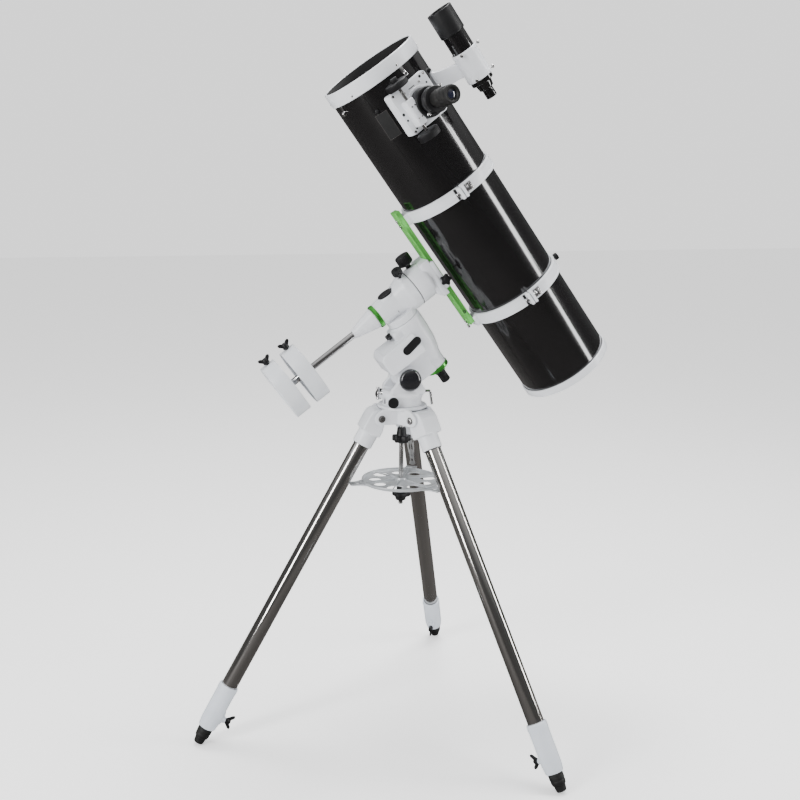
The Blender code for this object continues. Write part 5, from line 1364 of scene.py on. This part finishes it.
for radius, height, key, low, spots in (
    (0.0032, 0.0022, 0.0014, 0.1296, ((-0.0540, -0.0555), (0.0380, -0.0555), (0.0380, 0.0405),
                                      (-0.0540, 0.0405))),
    (0.0020, 0.0016, 0.0009, 0.1590, ((-0.0150, -0.0440), (0.0150, -0.0440), (-0.0150, -0.0350),
                                      (0.0150, -0.0350))),
    (0.0026, 0.0020, 0.0012, 0.1296, ((-0.0450, 0.0200), (-0.0440, -0.0270), (0.0370, -0.0250))),
):
    for x, y in spots:
        plate_screws.append(socket_head(radius, height, FOCUS @ moved(x, y, low), key))
own("focuser_screws", joined("focuser_screws", plate_screws), PLATED_STEEL, "tube")
# Black discs and bars flush with the plate are painted shade: they stand for the dark insides of its holes
# and slots.
hole_shades = []
for x, y, radius in ((-0.0530, 0.0290, 0.0034), (-0.0330, 0.0360, 0.0024), (0.0330, -0.0470, 0.0032),
                     (0.0080, -0.0560, 0.0026), (-0.0080, -0.0570, 0.0036), (0.0300, 0.0380, 0.0022)):
    hole_shades.append(turned("hole_shade_disc", cylinder(radius, 0.1290, 0.1302), FOCUS @ moved(x, y, 0), steps=32,
                        edge=0.0002))
hole_shades.append(block("slot_shade", (-0.0460, -0.0440), (-0.0120, 0.0060), (0.1290, 0.1303), FOCUS, edge=0.0003))
hole_shades.append(block("slot_shade", (0.0390, 0.0405), (-0.0100, 0.0060), (0.1290, 0.1303), FOCUS, edge=0.0003))
own("focuser_hole_shades", joined("focuser_hole_shades", hole_shades), BLACK_PLASTIC, "tube")

# ---------------------------------------------------------------- drawtube
# The drawtube slides in the collar. Its wide black end holds the eyepiece with two small
# bright thumbscrews.
own("drawtube_body", turned("drawtube", [
    (0.0164, 0.1950), (0.0285, 0.1950), (0.0298, 0.1940), (0.0300, 0.1925), (0.0300, 0.1905),
    (0.0294, 0.1898), (0.0294, 0.1882), (0.0300, 0.1875), (0.0300, 0.1775), (0.0292, 0.1765),
    (0.0255, 0.1762), (0.0255, 0.0982), (0.0248, 0.0980), (0.0240, 0.0980), (0.0238, 0.1600),
    (0.0164, 0.1620)], FOCUS, steps=96, ring=True, edge=0.0003),
    BLACK_PLASTIC, "drawtube", ["drawtube"])
thumbs = []
for turn in (radians(-60), radians(120)):
    out = FOCUS @ moved(0, 0, 0.1830) @ about("Z", turn) @ about("Y", pi / 2)
    thumbs.append(turned("stem", cylinder(0.0015, 0.0280, 0.0330), out, edge=0.0002))
    thumbs.append(fluted("head", [(0.0020, 0.0390, False), (0.0036, 0.0388, False),
                                  (0.0042, 0.0378, True), (0.0042, 0.0334, True), (0.0034, 0.0326, False),
                                  (0.0015, 0.0326, False)], 18, out, 0.0004))
own("drawtube_thumbscrews", joined("drawtube_thumbscrews", thumbs), CHROME, "drawtube")

# ---------------------------------------------------------------- focus knobs
# Black ribbed knobs sit on both ends of the pinion shaft. The left one carries a small
# second knob for fine movement.
pinion = FOCUS @ moved(0, PINION_Y, PINION_Z) @ DOWN_X
own("focus_hand_knobs", joined("focus_hand_knobs", [
    fluted("right", [(0.0100, 0.0645, False), (0.0235, 0.0660, False), (0.0258, 0.0655, False),
                     (0.0268, 0.0640, True), (0.0270, 0.0510, True), (0.0262, 0.0492, True),
                     (0.0240, 0.0482, False), (0.0090, 0.0480, False), (0.0060, 0.0480, False)],
                     40, pinion, 0.0007),
    fluted("left", [(0.0060, -0.0640, False), (0.0240, -0.0640, False), (0.0262, -0.0650, True),
                    (0.0270, -0.0670, True), (0.0268, -0.0775, True), (0.0255, -0.0788, False),
                    (0.0100, -0.0790, False)], 40, pinion, 0.0007),
    fluted("fine", [(0.0050, -0.0786, False), (0.0078, -0.0790, True), (0.0080, -0.0875, True),
                    (0.0070, -0.0890, False), (0.0030, -0.0890, False)], 20, pinion, 0.0004),
]), BLACK_PLASTIC, "focus_knobs", ["focus_knobs"])
own("focus_pinion_shaft", turned("shaft", cylinder(0.0039, -0.0700, 0.0600), pinion, edge=0.0004),
    PLATED_STEEL, "focus_knobs")

# ---------------------------------------------------------------- eyepiece
# The eyepiece is a black barrel with a ribbed rubber grip and a folded eyecup round a small
# coated lens. Its bright chromed nose slips into the drawtube.
own("eyepiece_barrel", fluted("barrel", [
    (0.0118, 0.2600, False), (0.0125, 0.2600, False), (0.0150, 0.2640, False), (0.0170, 0.2650, False),
    (0.0192, 0.2648, False), (0.0205, 0.2636, False), (0.0210, 0.2600, False), (0.0206, 0.2560, False),
    (0.0196, 0.2550, False), (0.0196, 0.2530, False), (0.0206, 0.2520, True), (0.0208, 0.2330, True),
    (0.0200, 0.2310, False), (0.0200, 0.2240, False), (0.0208, 0.2225, False), (0.0208, 0.2080, False),
    (0.0200, 0.2065, False), (0.0186, 0.2050, False), (0.0186, 0.1954, False), (0.0160, 0.1954, False)],
    44, FOCUS, 0.0005),
    TIP_RUBBER, "eyepiece", ["eyepiece"])
own("eyepiece_nose", turned("nose", cylinder(0.0158, 0.1652, 0.1960), FOCUS, edge=0.0004), CHROME,
    "eyepiece")
own("eyepiece_lens", turned("lens", [
    (0, 0.2622), (0.0030, 0.2620), (0.0060, 0.2613), (0.0090, 0.2603), (0.0112, 0.2592), (0.0112, 0.2580),
    (0, 0.2580)],
    FOCUS, edge=0), COATED_GLASS, "eyepiece")

# ---------------------------------------------------------------- finder bracket
# A white cast stalk stands on the tube and ends in a wide ring. Thumbscrews through the
# ring hold the small finder scope and point it.
FINDER = AXIS @ about("X", radians(30))
SIGHT = FINDER @ moved(0, 0, 0.208) @ DOWN_X
stalk = [(-0.3960, 0.1174), (-0.3960, 0.1225), (-0.3930, 0.1240), (-0.3830, 0.1700), (-0.3830, 0.1790),
         (-0.3460, 0.1790), (-0.3480, 0.1700), (-0.3500, 0.1240), (-0.3470, 0.1225), (-0.3470, 0.1174)]
own("finder_bracket_casting", joined("finder_bracket_casting", [
    drilled("stalk", drawn("stalk", stalk, -0.0095, 0.0095, FINDER, edge=0.0022, segments=3),
            [turned("room", cylinder(0.0290, -0.42, -0.30), SIGHT, edge=0)]),
    block("shoe", (-0.3990, -0.3440), (-0.0130, 0.0130), (0.1165, 0.1215), FINDER, edge=0.0010),
    turned("ring", [(0.0276, -0.3255), (0.0302, -0.3255), (0.0312, -0.3265), (0.0312, -0.3335),
                    (0.0306, -0.3345), (0.0306, -0.3900), (0.0312, -0.3910), (0.0312, -0.3980),
                    (0.0302, -0.3990), (0.0276, -0.3990)],
           SIGHT, steps=96, ring=True, edge=0.0005),
]), WHITE_ENAMEL, "tube", ["finder_bracket"])
thumbs = []
for x in (-0.3300, -0.3945):
    for turn in (35, 155, 275):
        out = SIGHT @ moved(0, 0, x) @ about("Z", radians(turn)) @ about("Y", pi / 2)
        thumbs.append(turned("stem", cylinder(0.0014, 0.0285, 0.0370), out, steps=24, edge=0.0002))
        thumbs.append(fluted("head", [(0.0015, 0.0410, False), (0.0034, 0.0409, False),
                                      (0.0040, 0.0400, True), (0.0040, 0.0368, True),
                                      (0.0032, 0.0360, False), (0.0014, 0.0360, False)], 16, out, 0.0004))
own("finder_thumbscrews", joined("finder_thumbscrews", thumbs), PLATED_STEEL, "tube")

# ---------------------------------------------------------------- finder scope
# The finder is a small straight telescope in gloss black, with a wide dew hood, a coated
# front lens and a stepped eyepiece.
own("finder_scope_tube", turned("finder", [
    (0.0262, -0.4830), (0.0268, -0.4980), (0.0272, -0.4980), (0.0272, -0.3160), (0.0262, -0.3148),
    (0.0205, -0.3135), (0.0200, -0.3120), (0.0175, -0.2985), (0.0130, -0.2962), (0.0126, -0.2900),
    (0.0130, -0.2890), (0.0130, -0.2755), (0.0120, -0.2742), (0.0085, -0.2742), (0.0080, -0.2765),
    (0, -0.2768), (0, -0.4830)][::-1], SIGHT, steps=96, edge=0.0004), GLOSS_ENAMEL,
    "finder_scope", ["finder_scope"])
own("finder_hood", turned("hood", [
    (0.0273, -0.4982), (0.0280, -0.5030), (0.0297, -0.5030), (0.0305, -0.5020), (0.0305, -0.4445),
    (0.0298, -0.4432), (0.0273, -0.4420)],
    SIGHT, steps=96, ring=True, edge=0.0004), BLACK_PLASTIC, "finder_scope")
own("finder_glass", joined("finder_glass", [
    turned("front", [(0, -0.4862), (0.0130, -0.4855), (0.0258, -0.4835), (0.0258, -0.4828), (0, -0.4828)],
           SIGHT, edge=0),
    turned("back", [(0, -0.2755), (0.0050, -0.2758), (0.0078, -0.2763), (0.0078, -0.2770), (0, -0.2770)],
           SIGHT, edge=0),
]), COATED_GLASS, "finder_scope")

# ---------------------------------------------------------------- stage
# A pale floor and a pale room, both darker where a polished surface mirrors them, so that gloss
# and steel keep their depth. Two tall soft lamps stand at the sides and a wide one hangs above.


def dim_in_reflections(tree, seen, reflected):
    """A colour that is pale when looked at or lit, and dark where a polished surface mirrors it."""
    path = tree.nodes.new("ShaderNodeLightPath")
    pick = make(tree, "ShaderNodeMix", data_type="RGBA")
    pick.inputs["A"].default_value = (*seen, 1)
    pick.inputs["B"].default_value = (*reflected, 1)
    tree.links.new(path.outputs["Is Glossy Ray"], pick.inputs["Factor"])
    return pick.outputs["Result"]


def brighter_when_seen(tree, seen, lighting):
    """One strength for the camera's own view of the backdrop and another for its light."""
    path = tree.nodes.new("ShaderNodeLightPath")
    pick = make(tree, "ShaderNodeMix", data_type="FLOAT")
    pick.inputs["A"].default_value = lighting
    pick.inputs["B"].default_value = seen
    tree.links.new(path.outputs["Is Camera Ray"], pick.inputs["Factor"])
    return pick.outputs["Result"]


floor_body = bmesh.new()
bmesh.ops.create_grid(floor_body, x_segments=1, y_segments=1, size=14.0)
floor = bpy.data.objects.new("studio_floor", mesh_of("studio_floor", floor_body))
bpy.context.scene.collection.objects.link(floor)
paper = bpy.data.materials.new("studio_paper")
paper.use_nodes = True
paper_shader = paper.node_tree.nodes["Principled BSDF"]
paper_shader.inputs["Roughness"].default_value = 0.9
paper.node_tree.links.new(
    dim_in_reflections(paper.node_tree, (0.95, 0.95, 0.95), (0.050, 0.047, 0.045)),
    paper_shader.inputs["Base Color"])
paper_shader.inputs["Emission Color"].default_value = (1, 1, 1, 1)
paper.node_tree.links.new(brighter_when_seen(paper.node_tree, 0.50, 0.0),
                          paper_shader.inputs["Emission Strength"])
floor.data.materials.append(paper)

world = bpy.data.worlds.new("studio")
bpy.context.scene.world = world
world.use_nodes = True
room = world.node_tree.nodes["Background"]
way = world.node_tree.nodes.new("ShaderNodeTexCoord")
axes = world.node_tree.nodes.new("ShaderNodeSeparateXYZ")
overhead = make(world.node_tree, "ShaderNodeMapRange", in_From_Min=0.35, in_From_Max=0.95, in_To_Min=0.08,
                in_To_Max=0.75)
shade = world.node_tree.nodes.new("ShaderNodeMix")
shade.data_type = "RGBA"
shade.inputs["A"].default_value = (1, 1, 1, 1)
rays = world.node_tree.nodes.new("ShaderNodeLightPath")
for start, finish_at in (
    (way.outputs["Generated"], axes.inputs[0]), (axes.outputs["Z"], overhead.inputs["Value"]),
    (overhead.outputs["Result"], shade.inputs["B"]),
    (rays.outputs["Is Glossy Ray"], shade.inputs["Factor"]),
    (shade.outputs["Result"], room.inputs["Color"]),
):
    world.node_tree.links.new(start, finish_at)
world.node_tree.links.new(brighter_when_seen(world.node_tree, 1.45, 0.90), room.inputs["Strength"])


def softbox(name, at, aim, width, height, power):
    """A rectangular lamp that faces a point."""
    light = bpy.data.lights.new(name, "AREA")
    light.shape = "RECTANGLE"
    light.size = width
    light.size_y = height
    light.energy = power
    lamp = bpy.data.objects.new(name, light)
    lamp.location = at
    lamp.rotation_euler = (Vector(aim) - Vector(at)).to_track_quat("-Z", "Y").to_euler()
    bpy.context.scene.collection.objects.link(lamp)


softbox("key_left", (-3.0, -1.4, 2.0), (0, 0, 0.9), 0.55, 3.2, 110)
softbox("fill_right", (3.0, -1.2, 1.8), (0, 0, 1.0), 0.40, 3.2, 60)
softbox("top", (0.4, 0.4, 3.8), (0, 0, 1.0), 1.8, 1.0, 140)

LENS = 49.4
CAMERA_AT = (-0.812, -2.5621, 1.4579)
CAMERA_HEADING = -0.305
CAMERA_DIP = radians(12.43)
CAMERA_ROLL = 0.0143
camera_data = bpy.data.cameras.new("camera")
camera_data.lens = LENS
camera_data.sensor_width = 36.0
camera = bpy.data.objects.new("camera", camera_data)
camera.matrix_world = (
    moved(*CAMERA_AT) @ about("Z", CAMERA_HEADING)
    @ about("X", pi / 2 - CAMERA_DIP) @ about("Z", CAMERA_ROLL))
bpy.context.scene.collection.objects.link(camera)
bpy.context.scene.camera = camera
